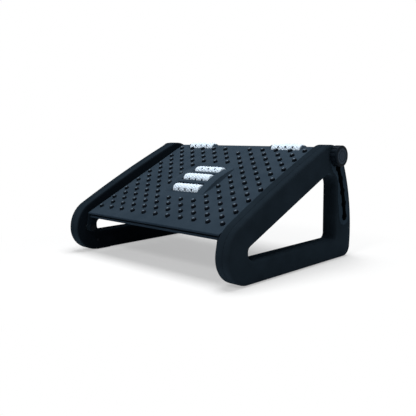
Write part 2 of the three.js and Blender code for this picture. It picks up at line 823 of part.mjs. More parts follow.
// Every dome's place but those that the hump takes up, and the middle one of the last row.
function domePlaces() {
  const clearX = humpHalfWidth + domeRadius + domeEdgeClearance;
  const clearY = humpLength / 2 + domeRadius;
  const lastRow = boardFront + domeFrontMargin + (domeRows - 1) * domeRowPitch;
  return Array.from({ length: domeRows }, (_, i) => rowOf(i))
    .flat()
    .filter(({ x, along }) => Math.abs(x) > clearX || Math.abs(along - humpMiddle) > clearY)
    .filter(({ x, along }) => x !== 0 || along < lastRow);
}

const dome = ({ x, along }) =>
  turnedUp(
    [
      [0, boardRise - joinDepth],
      [domeRadius, boardRise - joinDepth],
      [domeRadius, boardRise],
      [domeTopRadius, boardRise + domeHeight],
      [0, boardRise + domeHeight],
    ],
    x,
    along,
    domeSides,
  );

// A bay is the walled space that one or more rollers turn in, closed by a plate from below. It
// reaches a given way behind its last axle.
function bayOf(rollers, reachBehind) {
  const alongs = rollers.map(({ along }) => along);
  return {
    rollers,
    x: rollers[0].x,
    front: Math.min(...alongs) - bayReach,
    rear: Math.max(...alongs) + reachBehind,
    floor: Math.min(...rollers.map(({ rise }) => rise)) - rollerRadius - bayBelowRoller,
  };
}

const centreBay = bayOf(centreRollers, bayReach);
const rearBay = bayOf([rearRoller], axleRadius + fitGap + bayWall);
const postPlace = bayOutside + bayLugLength / 2;

// Where a bay's closing plate is screwed on: a pair of posts at each end, or one pair midway.
const postsOf = (bay) => {
  const first = bay.front + bayPostRadius + bayWall;
  const pairs = [first, bay.front + bay.rear - first];
  const rows = bay.rollers.length > 1 ? pairs : [bay.rollers[0].along - bayPostRadius];
  return rows.flatMap((along) => [-1, 1].map((way) => ({ x: bay.x + way * postPlace, along })));
};

// A lug round one end of a rear axle, thinner away from the roller.
function rearLug(bay, way) {
  const { along, rise } = bay.rollers[0];
  const near = bay.x + way * bayHalf;
  const far = near + way * rearLugLength;
  return turnedAcross(
    [
      [0, near],
      [rearLugRadius, near],
      [rearLugRadius, near + way * bayWall],
      [rearLugTipRadius, far],
      [0, far],
    ],
    along,
    rise,
  );
}

// The two side walls that carry a bay's axles, and the posts for its screws, cut to the tread's and
// the hump's underside. A rear bay has its lugs as well.
function bayWalls(bay) {
  const top = boardRise + humpRise;
  const walls = [-1, 1].map((way) => {
    const [near, far] = inOrder(bay.x + way * bayHalf, bay.x + way * bayOutside);
    return block([near, bay.front, bay.floor], [far, bay.rear, top]);
  });
  const posts = postsOf(bay).map(({ x, along }) => rodUp(bayPostRadius, bay.floor, top, x, along, bossSides));
  const underTread = block([-boardHalf, 0, bay.floor], [boardHalf, bay.rear, boardUnder + joinDepth]);
  const underHump = humpBody(humpLining - joinDepth, bay.floor);
  const lugs = bay === centreBay ? [] : [-1, 1].map((way) => rearLug(bay, way));
  return joined([joined([...walls, ...posts]).intersect(underTread.add(underHump)), ...lugs]);
}

// Each axle drops into a pair of blind slots from below.
const axleSlots = (bay) =>
  joined(
    bay.rollers.map(({ along, rise }) => {
      const half = axleRadius + fitGap;
      const reach = bayOutside - axleSkin;
      return joined([
        block([bay.x - reach, along - half, bay.floor - cutOver], [bay.x + reach, along + half, rise]),
        rodAcross(half, bay.x - reach, bay.x + reach, along, rise, screwSides),
      ]);
    }),
  );

const postPilots = (bay) =>
  joined(
    postsOf(bay).map(({ x, along }) =>
      rodUp(screwRadius + fitGap, bay.floor - cutOver, bay.floor + screwBite, x, along, screwSides),
    ),
  );

// The hole that each roller stands out through.
const pocket = ({ x, along, rise, clearance }) => {
  const half = rollerRadius + clearance;
  return block(
    [x - bayHalf, along - half, rise - rollerRadius],
    [x + bayHalf, along + half, boardRise + humpRise + cutOver],
  );
};

const mirrored = ({ x, ...rest }) => ({ ...rest, x: -x });
const leftRearBay = { ...mirrored(rearBay), rollers: rearBay.rollers.map(mirrored) };
const allBays = [centreBay, rearBay, leftRearBay];

// Ribs under the tread, in a grid between the side walls.
function ribs() {
  const low = boardUnder - ribDepth;
  const high = boardUnder + joinDepth;
  const inside = cheekIn + joinDepth;
  const front = boardFront + frontGrooveDepth + skirtWall - joinDepth;
  const rear = boardRear - skirtWall + joinDepth;
  const half = ribWall / 2;
  const lines = (from, to, bays) =>
    Array.from({ length: bays - 1 }, (_, i) => from + ((to - from) * (i + 1)) / bays);
  const lengthways = lines(-inside, inside, ribBaysAcross).map((x) =>
    block([x - half, front, low], [x + half, rear, high]),
  );
  const crossways = lines(front, rear, ribBaysAlong).map((y) =>
    block([-inside, y - half, low], [inside, y + half, high]),
  );
  return joined([...lengthways, ...crossways]);
}

function treadBoard() {
  const plateCorners = [
    [-boardHalf, boardFront + frontNoseHeight / 2, smallRound],
    [boardHalf, boardFront + frontNoseHeight / 2, smallRound],
    [boardHalf, boardRear, boardCornerRadius],
    [-boardHalf, boardRear, boardCornerRadius],
  ].map(([x, y, radius]) => ({ at: point(x, y), radius }));
  const plate = slabUp(roundedOutline(plateCorners), boardUnder, boardRise);
  const frontEdge = slabAcross(frontEdgeOutline(), -boardHalf, boardHalf);
  const rearSkirt = block(
    [-studHeadIn, boardRear - skirtWall, boardRise - skirtDepth],
    [studHeadIn, boardRear, boardUnder + joinDepth],
  );
  const sides = [-1, 1];
  const cheeks = sides.map((way) => slabAcross(cheekOutline(), ...inOrder(way * cheekIn, way * boardHalf)));
  const hubs = sides.flatMap((way) => [
    rodAcross(earRadius - fitGap, ...inOrder(way * earIn, way * earOut), 0, 0),
    rodAcross(clampBossRadius, ...inOrder(way * clampIn, way * clampOut), studAlong, studRise),
  ]);
  const bores = sides.flatMap((way) => [
    rodAcross(pinBoreRadius, ...inOrder(way * (earIn - cutOver), way * innerFace), 0, 0),
    rodAcross(
      studRadius + fitGap,
      ...inOrder(way * (clampIn - cutOver), way * innerFace),
      studAlong,
      studRise,
    ),
  ]);
  const bays = allBays.map(bayWalls);
  const bayRoom = allBays.map((bay) =>
    block(
      [bay.x - bayHalf, bay.front, bay.floor - cutOver],
      [bay.x + bayHalf, bay.rear + cutOver, boardUnder],
    ),
  );
  const skin = [plate, frontEdge, rearSkirt, ...cheeks, humpBody(0, boardUnder)];
  return joined([...skin, ribs(), ...domePlaces().map(dome)])
    .subtract(humpBody(humpLining, boardUnder - cutOver))
    .subtract(joined(bayRoom))
    .add(joined([...bays, ...hubs]))
    .subtract(joined([...allBays.map(axleSlots), ...allBays.map(postPilots), ...bores]))
    .subtract(joined([...centreRollers, rearRoller, mirrored(rearRoller)].map(pocket)));
}

// A roller: a tube with rounded ends, and rows of small blind windows along it.
function roller({ x, along, rise, turn }) {
  const bore = axleRadius + fitGap;
  const start = x - rollerLength / 2;
  const end = x + rollerLength / 2;
  const shoulder = rollerRadius - rollerEndRound;
  const tube = turnedAcross(
    [
      [bore, start],
      [shoulder, start],
      [rollerRadius, start + rollerEndRound],
      [rollerRadius, end - rollerEndRound],
      [shoulder, end],
      [bore, end],
      [bore, start],
    ],
    along,
    rise,
    rollerSides,
  );
  const windows = Array.from({ length: windowRows * windowsPerRow }, (_, i) => {
    const place = start + (rollerLength * (1 + (i % windowsPerRow))) / (windowsPerRow + 1);
    const row = (2 * Math.PI * Math.floor(i / windowsPerRow)) / windowRows;
    const geometry = new THREE.BoxGeometry(windowWidth, windowLength, windowDepth + cutOver)
      .translate(0, 0, rollerRadius + (cutOver - windowDepth) / 2)
      .rotateX(THREE.MathUtils.degToRad(turn) + row)
      .translate(place, along, rise);
    return solidOf(geometry);
  });
  return tube.subtract(joined(windows));
}

const axleHalf = bayOutside - axleSkin - fitGap;
const axle = ({ x, along, rise }) =>
  rodAcross(axleRadius, x - axleHalf, x + axleHalf, along, rise, screwSides);

// The plate that closes a bay, with a finger up each axle slot that keeps the axle seated.
function bayCradle(bay) {
  const top = bay.floor - fitGap;
  const plate = block(
    [bay.x - bayOutside - bayLugLength, bay.front, top - bayPlate],
    [bay.x + bayOutside + bayLugLength, bay.rear, top],
  );
  const half = axleRadius;
  const fingers = bay.rollers.flatMap(({ along, rise }) =>
    [-1, 1].map((way) => {
      const [near, far] = inOrder(bay.x + way * (bayHalf + fitGap), bay.x + way * axleHalf);
      return block([near, along - half, top - joinDepth], [far, along + half, rise - axleRadius - fitGap]);
    }),
  );
  const holes = postsOf(bay).map(({ x, along }) =>
    rodUp(screwRadius + fitGap, top - bayPlate - cutOver, top + cutOver, x, along, screwSides),
  );
  return joined([plate, ...fingers]).subtract(joined(holes));
}

// A screw that holds a cradle: its head under the plate, its shank in a post.
function cradleScrew(bay, { x, along }) {
  const seat = bay.floor - fitGap - bayPlate - fitGap;
  const tip = bay.floor + screwBite - fitGap;
  return turnedUp(
    [
      [0, seat - screwHeadHeight],
      [screwHeadRadius, seat - screwHeadHeight],
      [screwHeadRadius, seat],
      [screwRadius, seat],
      [screwRadius, tip],
      [0, tip],
    ],
    x,
    along,
    screwSides,
  );
}

// Tilt pin: its head bears on the ear's inner side, its tail stands inside the frame.
function pivotPin() {
  const head = earIn - fitGap;
  const tail = innerFace + hubDepth + clipStandOff + clipThickness + pinTail;
  return turnedAcross(
    [
      [0, head - pinHeadHeight],
      [pinHeadRadius, head - pinHeadHeight],
      [pinHeadRadius, head],
      [pinRadius, head],
      [pinRadius, tail],
      [0, tail],
    ],
    0,
    0,
  );
}

const pivotClip = () => {
  const start = innerFace + hubDepth + clipStandOff;
  return ringAcross(pinBoreRadius, clipRadius, start, start + clipThickness, 0, 0);
};

// Clamp stud: a hexagon head on the board's boss, and a shank out through the slot into the knob.
const knobBack = padFace + knobStandOff;
const knobFront = outerFace + knobProud;
const capSeat = knobFront - knobCapThickness;
const studEnd = capSeat - knobWeb;

function clampStud() {
  const headIn = studHeadOut - studHeadHeight;
  return joined([
    rodAcross(studHeadRadius, headIn, studHeadOut, studAlong, studRise, hexagon),
    rodAcross(studRadius, studHeadOut - joinDepth, studEnd - fitGap, studAlong, studRise),
  ]);
}

const slideWasher = () =>
  ringAcross(studRadius + fitGap, clampBossRadius, slideWasherIn, slideWasherOut, studAlong, studRise);

const washerStart = padFace + fitGap;
const washerEnd = washerStart + lockWasherThickness;
const lockWasher = () =>
  ringAcross(studRadius + fitGap, lockWasherRadius, washerStart, washerEnd, studAlong, studRise);

const nutStart = washerEnd + fitGap;

// Knob: a ribbed grip with a smooth disc in front. From the back, it has seats for the washer and
// the nut, and from the front, one for the cap.
function knob() {
  const gripEnd = knobFront - knobDiscHeight;
  const outline = Array.from({ length: knobRibs }, (_, i) => {
    const pitch = 360 / knobRibs;
    const start = i * pitch;
    const topEnd = start + pitch * knobRibTopShare;
    const flank = pitch * knobRibFlankShare;
    const low = knobRadius - knobRibDepth;
    const axis = point(studAlong, studRise);
    return [
      onCircle(axis, knobRadius, start),
      onCircle(axis, knobRadius, topEnd),
      onCircle(axis, low, topEnd + flank),
      onCircle(axis, low, start + pitch - flank),
    ];
  }).flat();
  const disc = turnedAcross(
    [
      [0, gripEnd],
      [knobRadius, gripEnd],
      [knobRadius, knobFront - knobDiscRound],
      [knobRadius - knobDiscRound, knobFront],
      [0, knobFront],
    ],
    studAlong,
    studRise,
    discSides,
  );
  const back = knobBack - cutOver;
  const nutEnd = nutStart + knobNutHeight + fitGap;
  return joined([slabAcross(outline, knobBack, gripEnd + joinDepth), disc]).subtract(
    joined([
      rodAcross(seatRadius(lockWasherRadius), back, nutStart, studAlong, studRise),
      rodAcross(knobNutRadius + fitGap, back, nutEnd, studAlong, studRise, hexagon),
      rodAcross(studRadius + fitGap, back, studEnd, studAlong, studRise),
      rodAcross(knobCapRadius + fitGap, capSeat, knobFront + cutOver, studAlong, studRise, discSides),
    ]),
  );
}

const knobNut = () =>
  rodAcross(knobNutRadius, nutStart, nutStart + knobNutHeight, studAlong, studRise, hexagon).subtract(
    rodAcross(studRadius + fitGap, padFace, knobFront, studAlong, studRise),
  );

// The cap in the knob's front, with a raised rim and a raised middle.
function knobCap() {
  const start = capSeat + fitGap;
  const low = knobFront - knobCapRise;
  return turnedAcross(
    [
      [0, start],
      [knobCapRadius, start],
      [knobCapRadius, knobFront],
      [knobCapRingRadius + knobCapRise, knobFront],
      [knobCapRingRadius, low],
      [knobCapRingRadius - knobCapRise, knobFront],
      [0, knobFront],
    ],
    studAlong,
    studRise,
    discSides,
  );
}

// The board's pieces on one side, modelled on the user's right.
function boardSide(side) {
  return [
    meshOf(side + "_pivot_pin", pivotPin(), zincSteel),
    meshOf(side + "_pivot_clip", pivotClip(), zincSteel),
    meshOf(side + "_clamp_stud", clampStud(), zincSteel),
    meshOf(side + "_slide_washer", slideWasher(), bushWhite),
    meshOf(side + "_lock_washer", lockWasher(), zincSteel),
    meshOf(side + "_knob", knob(), knobBlack),
    meshOf(side + "_knob_nut", knobNut(), nutBrass),
    meshOf(side + "_knob_cap", knobCap(), capSlate),
    meshOf(side + "_rear_roller", roller(rearRoller), rollerGrey),
    meshOf(side + "_rear_axle", axle(rearRoller), zincSteel),
    meshOf(side + "_rear_cradle", bayCradle(rearBay), treadSlate),
    ...postsOf(rearBay).map((post, i) =>
      meshOf(side + "_rear_cradle_screw_" + (i + 1), cradleScrew(rearBay, post), zincSteel),
    ),
  ];
}

// Assembly

// The same pieces on both sides: as modelled on the right, and mirrored on the left.
function bothSides(pieces) {
  const right = new THREE.Group().add(...pieces("right"));
  const left = new THREE.Group().add(...pieces("left"));
  left.scale.x = -1;
  return [right, left];
}

const board = new THREE.Group();
board.position.set(0, pivot.x, pivot.y);
board.rotation.x = THREE.MathUtils.degToRad(restTilt);
board.add(
  meshOf("tread_board", treadBoard(), treadSlate),
  ...centreRollers.map((place, i) => meshOf("centre_roller_" + (i + 1), roller(place), rollerGrey)),
  ...centreRollers.map((place, i) => meshOf("centre_axle_" + (i + 1), axle(place), zincSteel)),
  meshOf("centre_cradle", bayCradle(centreBay), treadSlate),
  ...postsOf(centreBay).map((post, i) =>
    meshOf("centre_cradle_screw_" + (i + 1), cradleScrew(centreBay, post), zincSteel),
  ),
  ...bothSides(boardSide),
);

const footrest = new THREE.Group();
footrest.add(board, ...bothSides(sideFrame));

export default footrest;
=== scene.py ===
# %% [markdown]
# # A tilting footrest for under a desk
#
# The real footrest is moulded plastic. Two side frames stand on the floor, and a tread board full of
# round domes hangs between them on two low pins. A knob on each side clamps its rear in a curved slot,
# and five pale rollers turn in it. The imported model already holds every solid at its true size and
# place. This script keeps that model as a fixed frame, and lays finer surfaces over what shows.

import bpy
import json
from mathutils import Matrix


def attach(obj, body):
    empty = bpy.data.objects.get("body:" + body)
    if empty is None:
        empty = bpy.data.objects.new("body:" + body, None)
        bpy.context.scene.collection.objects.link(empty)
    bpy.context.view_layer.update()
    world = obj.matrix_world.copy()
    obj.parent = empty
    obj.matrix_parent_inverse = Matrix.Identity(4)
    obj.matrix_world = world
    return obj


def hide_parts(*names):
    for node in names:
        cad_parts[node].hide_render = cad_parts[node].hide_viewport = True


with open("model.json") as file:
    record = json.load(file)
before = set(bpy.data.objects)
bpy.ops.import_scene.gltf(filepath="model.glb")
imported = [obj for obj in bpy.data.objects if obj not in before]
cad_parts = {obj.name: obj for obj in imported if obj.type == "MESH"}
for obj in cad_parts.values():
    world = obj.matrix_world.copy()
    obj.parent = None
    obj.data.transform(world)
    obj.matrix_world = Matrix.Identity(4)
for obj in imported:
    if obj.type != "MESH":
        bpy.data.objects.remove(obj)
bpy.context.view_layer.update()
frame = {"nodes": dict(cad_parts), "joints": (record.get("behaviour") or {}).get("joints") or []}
nodes = frame["nodes"]

# %% [markdown]
# ## Sizes
#
# Blender works in metres, and a maker thinks in millimetres, so the sizes here are in millimetres and
# one factor turns them into metres when a mesh is made. The tilt axis, the stud and the rollers' axes
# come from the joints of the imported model, so the surfaces can't drift away from the solids. Every
# other size stands in the cell that first needs it. The board is drawn level, in its own two
# directions, and leaned back by one function, `on_board`.

# %% Modules and joint places
import json
import math

import bmesh
import bpy
import numpy as np
from mathutils import Matrix
from mathutils.geometry import tessellate_polygon

MM = 0.001
joint_place = {j["name"]: np.array(j["pos_m"]) / MM for j in frame["joints"]}
pivot = joint_place["platform_tilt"][1:]
stud = joint_place["right_knob_turn"][1:]
print("tilt axis at (y, z)", pivot.round(2), "mm, stud at", stud.round(2), "mm")

# %% The two ways to place a drawn shape
rest_tilt = math.radians(25.9)
board_rise = 30.8


def on_board(x, along, rise):
    """The place of a point of the board. Along it and square to it, the board's two directions are
    turned by the tilt: y is along times its cosine less rise times its sine, and z the other way."""
    x, along, rise = np.broadcast_arrays(x, along, rise)
    y = pivot[0] + along * math.cos(rest_tilt) - rise * math.sin(rest_tilt)
    z = pivot[1] + along * math.sin(rest_tilt) + rise * math.cos(rest_tilt)
    return np.stack([x, y, z], axis=-1)


def across(u, v, w):
    """A point of a side profile (u is y, v is z) at the distance w from the middle plane."""
    return np.stack(np.broadcast_arrays(w, u, v), axis=-1).astype(float)


print("tread over the tilt axis, z =", on_board(0, 0, board_rise)[2].round(1), "mm")

# %% [markdown]
# ## Surfaces on a grid
#
# Nearly every piece here is one of two things: a grid of points, such as a turned form, or a stack of
# outlines, such as a plate with holes. Both are worked out as whole arrays. The faces are index arrays
# too, so nothing walks over the points one by one. Doubles are merged at the end, which closes the
# seam of a turned form and its poles, and the faces are then pointed outwards.


# %% Grid and turned form
def grid_faces(rows, columns, wrap=False):
    """Quads between neighbouring rows and columns of a grid, closed round its rows if it wraps."""
    i, j = np.meshgrid(np.arange(rows - 1), np.arange(columns - (0 if wrap else 1)), indexing="ij")
    after = (j + 1) % columns
    quads = [i * columns + j, i * columns + after, (i + 1) * columns + after, (i + 1) * columns + j]
    return np.stack(quads, axis=-1).reshape(-1, 4)


def turned(profile, sides, centre, radius_at=None):
    """A form turned about a line along X through centre, a (y, z) pair. The profile is a list of
    (radius, x). radius_at may change the radius by the angle and x."""
    radius, x = np.array(profile, float).T
    angle = np.linspace(0, 2 * np.pi, sides, endpoint=False)
    grid_radius = np.broadcast_to(radius[:, None], (len(radius), sides))
    if radius_at is not None:
        grid_radius = radius_at(grid_radius, x[:, None], angle[None, :])
    y = centre[0] - grid_radius * np.sin(angle)
    z = centre[1] + grid_radius * np.cos(angle)
    points = np.stack([np.broadcast_to(x[:, None], y.shape), y, z], axis=-1).reshape(-1, 3)
    return points, [grid_faces(len(radius), sides, wrap=True)]


print("a wrapped grid of 3 x 8 points has", len(grid_faces(3, 8, wrap=True)), "quads")


# %% Blocks, and forms put together
def blocks(boxes, place):
    """Closed blocks between pairs of corners, all at once: eight points and six faces for each."""
    low, high = np.array(boxes, float).transpose(1, 0, 2)
    pick = np.array([[i, j, k] for k in (0, 1) for j in (0, 1) for i in (0, 1)])
    corners = np.where(pick[None] == 0, low[:, None, :], high[:, None, :])
    points = place(corners[..., 0], corners[..., 1], corners[..., 2]).reshape(-1, 3)
    sides = np.array([[0, 2, 3, 1], [4, 5, 7, 6], [0, 1, 5, 4], [2, 6, 7, 3], [0, 4, 6, 2], [1, 3, 7, 5]])
    return points, [(sides[None] + 8 * np.arange(len(low))[:, None, None]).reshape(-1, 4)]


def together(*parts):
    """Several forms as one: their points one after another, and their faces counted on from there."""
    starts = np.cumsum([0] + [len(points) for points, _ in parts[:-1]])
    faces = [f + start for (_, part_faces), start in zip(parts, starts) for f in part_faces]
    return np.concatenate([points for points, _ in parts]), faces


# %% Rounded outlines
def unit(vectors):
    """Vectors divided by their length."""
    return vectors / np.linalg.norm(vectors, axis=-1, keepdims=True)


def flat_cross(a, b):
    """The cross product of vectors in a plane."""
    return a[..., 0] * b[..., 1] - a[..., 1] * b[..., 0]


def polar(radius, angle):
    """A flat vector by its length and its angle: its length times the angle's cosine and sine."""
    return np.stack([radius * np.cos(angle), radius * np.sin(angle)], axis=-1)


def rounded(corners, inset=0.0, chord=1.6):
    """An outline with each corner (u, v, radius) cut by an arc that touches both edges. The arc's
    centre is on the corner's bisector, its radius over the sine of the half angle away. Arcs that
    would meet on an edge shrink alike. An inset moves the line inwards with the same points."""
    at = np.array(corners, float)[:, :2]
    radius = np.array(corners, float)[:, 2]
    back = unit(np.roll(at, 1, axis=0) - at)
    ahead = unit(np.roll(at, -1, axis=0) - at)
    half = np.arccos(np.clip((back * ahead).sum(axis=1), -1, 1)) / 2
    reach = radius / np.tan(half)
    edge = np.linalg.norm(np.roll(at, -1, axis=0) - at, axis=1)
    share = np.minimum(1, edge / (reach + np.roll(reach, -1) + 0.5))
    tangent = reach * np.minimum(share, np.roll(share, 1))
    radius = tangent * np.tan(half)
    centre = at + unit(back + ahead) * (radius / np.sin(half))[:, None]
    start = at + back * tangent[:, None] - centre
    end = at + ahead * tangent[:, None] - centre
    turn = np.arctan2(flat_cross(start, end), (start * end).sum(axis=1))
    start_angle = np.arctan2(start[:, 1], start[:, 0])
    arcs = []
    for k in range(len(at)):
        steps = int(np.clip(np.ceil(abs(turn[k]) * radius[k] / chord), 3, 90))
        size = max(radius[k] - np.sign(turn[k]) * inset, 0)
        arcs.append(centre[k] + polar(size, start_angle[k] + np.linspace(0, turn[k], steps + 1)))
    return np.concatenate(arcs)


def circle(centre, radius, sides=48):
    """A round outline, anticlockwise."""
    return np.array(centre) + polar(radius, np.linspace(0, 2 * np.pi, sides, endpoint=False))


square = [(0, 0, 3), (9, 0, 3), (9, 9, 3), (0, 9, 3)]
print("a square with rounded corners has", len(rounded(square)), "points")


# %% Slabs
def slab(layers, place):
    """A closed solid from layers of (height, [outline, hole, ...]), lowest first. Walls join each
    loop to the same loop of the next layer, and flat lids close the first layer and the last."""
    counts = [len(loop) for loop in layers[0][1]]
    starts = np.cumsum([0] + counts[:-1])
    total = sum(counts)
    flat = np.concatenate([np.concatenate(loops) for _, loops in layers])
    height = np.repeat([h for h, _ in layers], total)
    walls = []
    for start, count in zip(starts, counts):
        k = np.arange(count)
        ring = start + np.stack([k, (k + 1) % count], axis=-1)
        for level in range(len(layers) - 1):
            low = ring + level * total
            walls.append(np.concatenate([low, low[:, ::-1] + total], axis=1))
    lids = []
    for level in (0, len(layers) - 1):
        loops = [[(u, v, 0) for u, v in loop] for loop in layers[level][1]]
        lids.append(np.array(tessellate_polygon(loops)) + level * total)
    return place(flat[:, 0], flat[:, 1], height), [np.concatenate(walls), *lids]


def prism(loops, low, high, place):
    """A slab of the same loops at two heights."""
    return slab([(low, loops), (high, loops)], place)


def eased(low, high, round_low, round_high, steps=4):
    """Heights and insets for a slab's layers, with a quarter circle at each of its two edges: the
    height changes by r(1 - cos a) and the inset by r(1 - sin a)."""
    turn = np.linspace(0, np.pi / 2, steps + 1)
    bottom = [(low + round_low * (1 - np.cos(a)), round_low * (1 - np.sin(a))) for a in turn]
    top = [(high - round_high * (1 - np.cos(a)), round_high * (1 - np.sin(a))) for a in turn[::-1]]
    return bottom + top


print("heights and insets of a slab with eased edges:", np.round(eased(0, 10, 1, 2, 1), 2).tolist())


# %% A finished piece
def finished(name, form, finish, body, replaces=(), sharp=38, mirror=False):
    """Makes the object: points in millimetres become metres, doubles are merged, faces point
    outwards, and edges sharper than an angle stay crisp while the rest is shaded smooth."""
    points, faces = form
    points = points * MM
    if mirror:
        points = points * (-1, 1, 1)
    mesh = bpy.data.meshes.new(name)
    mesh.from_pydata(points, [], [face for part in faces for face in part.tolist()])
    work = bmesh.new()
    work.from_mesh(mesh)
    bmesh.ops.remove_doubles(work, verts=work.verts, dist=2e-6)
    bmesh.ops.dissolve_degenerate(work, edges=work.edges, dist=1e-7)
    bmesh.ops.recalc_face_normals(work, faces=work.faces)
    open_edges = sum(not edge.is_manifold for edge in work.edges)
    work.to_mesh(mesh)
    work.free()
    mesh.shade_smooth()
    mesh.set_sharp_from_angle(angle=math.radians(sharp))
    mesh.materials.append(finish)
    piece = bpy.data.objects.new(name, mesh)
    bpy.context.scene.collection.objects.link(piece)
    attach(piece, body)
    if replaces:
        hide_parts(*replaces)
    print(f"{name}: {len(mesh.polygons)} faces, {open_edges} open edges")


# %% [markdown]
# ## Finishes
#
# All the black and slate parts are moulded plastic. Its mould was spark-eroded, so the surface has a
# fine grain, and the colour wanders a little where the melt met the mould at different heat. A noise
# of about a millimetre makes the grain as bump, and slower noises vary the colour and the gloss. The
# texture coordinates are Object coordinates, so the grain has one true scale on every piece. A mirror
# gloss would turn these dark plastics grey in a white room, so they keep almost none, and the frames
# catch light along their edges through a faint blue sheen.


# %% A colour and the nodes of a material
def screen(red, green, blue):
    """A colour from its 0 to 255 levels on screen, as the linear values that a shader takes: below
    0.04045 the level over 12.92, above it ((level + 0.055) / 1.055) to the power 2.4."""
    level = np.array([red, green, blue]) / 255
    linear = np.where(level <= 0.04045, level / 12.92, ((level + 0.055) / 1.055) ** 2.4)
    return (*linear.tolist(), 1.0)


def fill(tree, node, inputs):
    """Sets a node's inputs: another node's output is linked, and anything else becomes the value."""
    for key, value in inputs.items():
        if isinstance(value, bpy.types.NodeSocket):
            tree.links.new(value, node.inputs[key])
        else:
            node.inputs[key].default_value = value


def add(tree, kind, inputs, output=0, **settings):
    """Adds a shader node with its settings and inputs, and gives one of its outputs."""
    node = tree.nodes.new("ShaderNode" + kind)
    for key, value in settings.items():
        setattr(node, key, value)
    fill(tree, node, inputs)
    return node.outputs[output]


print("a mid grey on screen is", round(screen(128, 128, 128)[0], 3), "of white to a shader")


# %% A moulded plastic
def surface(name, dark, light, rough, grain=0.8, depth=0.1, patch=38, metal=0.0, stretch=(1, 1, 1),
            sheen=0.0, specular=0.0, tint=(1, 1, 1), fade=None):
    """A material between two colours and two roughnesses, with a grain of a size in millimetres. A
    fade is a direction, two distances and a colour, which comes in between them along the direction:
    (distance - first) / (second - first), kept between 0 and 1. Here a fade paints light and shade:
    painted shade on the frames' inner faces, and a painted highlight on the domes' tops."""
    material = bpy.data.materials.new(name)
    material.use_nodes = True
    tree = material.node_tree
    where = add(tree, "TexCoord", {}, "Object")
    stretched = add(tree, "Mapping", {"Vector": where, "Scale": stretch}, "Vector")

    def noise(size, detail):
        """A noise of a size in millimetres."""
        inputs = {"Vector": stretched, "Scale": 1 / (size * MM), "Detail": detail}
        return add(tree, "TexNoise", inputs, "Fac")

    def ranged(value, low, high):
        """The middle of a noise, 0.3 to 0.7, spread from low to high."""
        ends = {"From Min": 0.3, "From Max": 0.7, "To Min": low, "To Max": high}
        return add(tree, "MapRange", {"Value": value, **ends}, "Result")

    colours = {"A": screen(*dark), "B": screen(*light), "Factor": ranged(noise(patch, 3), 0.0, 1.0)}
    colour = add(tree, "Mix", colours, "Result", data_type="RGBA")
    if fade:
        direction, start, end, towards = fade
        along = add(tree, "VectorMath", {0: where, 1: direction}, "Value", operation="DOT_PRODUCT")
        either_side = add(tree, "Math", {0: along}, operation="ABSOLUTE")
        ends = {"From Min": start * MM, "From Max": end * MM}
        reach = add(tree, "MapRange", {"Value": either_side, **ends}, "Result")
        colours = {"A": colour, "B": screen(*towards), "Factor": reach}
        colour = add(tree, "Mix", colours, "Result", data_type="RGBA")
    bump = {"Strength": depth, "Distance": grain * MM / 2, "Height": noise(grain, 2)}
    fill(tree, tree.nodes["Principled BSDF"], {
        "Base Color": colour, "Roughness": ranged(noise(patch / 3, 5), *rough), "Metallic": metal,
        "Specular IOR Level": specular, "Specular Tint": (*tint, 1), "Sheen Weight": sheen,
        "Sheen Tint": (*tint, 1), "Normal": add(tree, "Bump", bump, "Normal")})
    return material


# %% Plastics of the frames
inner_face = 193.0
cool = (0.45, 0.72, 1.0)
satin = (0.34, 0.46)
frame_look = {"dark": (20, 27, 33), "light": (25, 33, 40), "rough": satin, "sheen": 0.07, "tint": cool}
# Painted shade: the inner shells darken to near black towards the inner face, where shade falls between
# frame and board.
inner_painted_shade = ((1, 0, 0), inner_face + 4.0, inner_face + 0.5, (8, 12, 17))
frame_plastic = surface("frame_plastic", **frame_look)
inner_plastic = surface("inner_plastic", **frame_look, fade=inner_painted_shade)
# The pad is painted lighter than the frame: a painted sheen.
pad_plastic = surface("pad_plastic", (35, 47, 57), (42, 54, 65), satin)
# Near black for painted shade: in the slot, round its edge, and in the groove under the front edge.
painted_shade_black = surface("painted_shade_black", (5, 7, 9), (8, 11, 14), (0.6, 0.75), grain=0.7)
print("the inner faces fade to black from", inner_painted_shade[1], "to", inner_painted_shade[2], "mm off the middle")

# %% Plastics of the board, the domes and the rollers
# The board's side walls take a darker copy of its plastic: painted shade under the board.
cheek_shaded_plastic = surface("cheek_shaded_plastic", (14, 20, 26), (19, 26, 33), (0.5, 0.6))
tread_plastic = surface("tread_plastic", (43, 55, 66), (49, 61, 72), (0.46, 0.6), grain=0.9, depth=0.2,
                        specular=0.003, tint=cool)
# The front edge takes a darker copy of the board's plastic: painted shade on its forward face.
edge_shaded_plastic = surface("edge_shaded_plastic", (31, 42, 52), (37, 48, 59), (0.46, 0.6), grain=0.9, depth=0.15)
board_normal = on_board(0, 0, 1) - on_board(0, 0, 0)
dome_level = float(on_board(0, 0, board_rise) @ board_normal)
# The domes' tops turn paler by their height over the tread: a painted highlight.
dome_painted_highlight = (board_normal, dome_level + 4.2, dome_level + 4.55, (86, 102, 116))
dome_rubber = surface("dome_rubber", (9, 14, 20), (14, 20, 27), (0.2, 0.28), grain=0.5, depth=0.02,
                      patch=9, specular=0.03, tint=(0.7, 0.85, 1.0), fade=dome_painted_highlight)
roller_plastic = surface("roller_plastic", (214, 229, 243), (222, 236, 249), (0.5, 0.64), grain=0.7,
                         specular=0.1)
# Dark for painted shade inside the rollers' windows.
roller_hollow = surface("roller_hollow", (20, 25, 31), (26, 32, 39), (0.6, 0.7), grain=0.7, depth=0.12,
                        specular=0.05)
print("tread plane", round(dome_level, 2), "mm from the origin along its normal", board_normal.round(3))

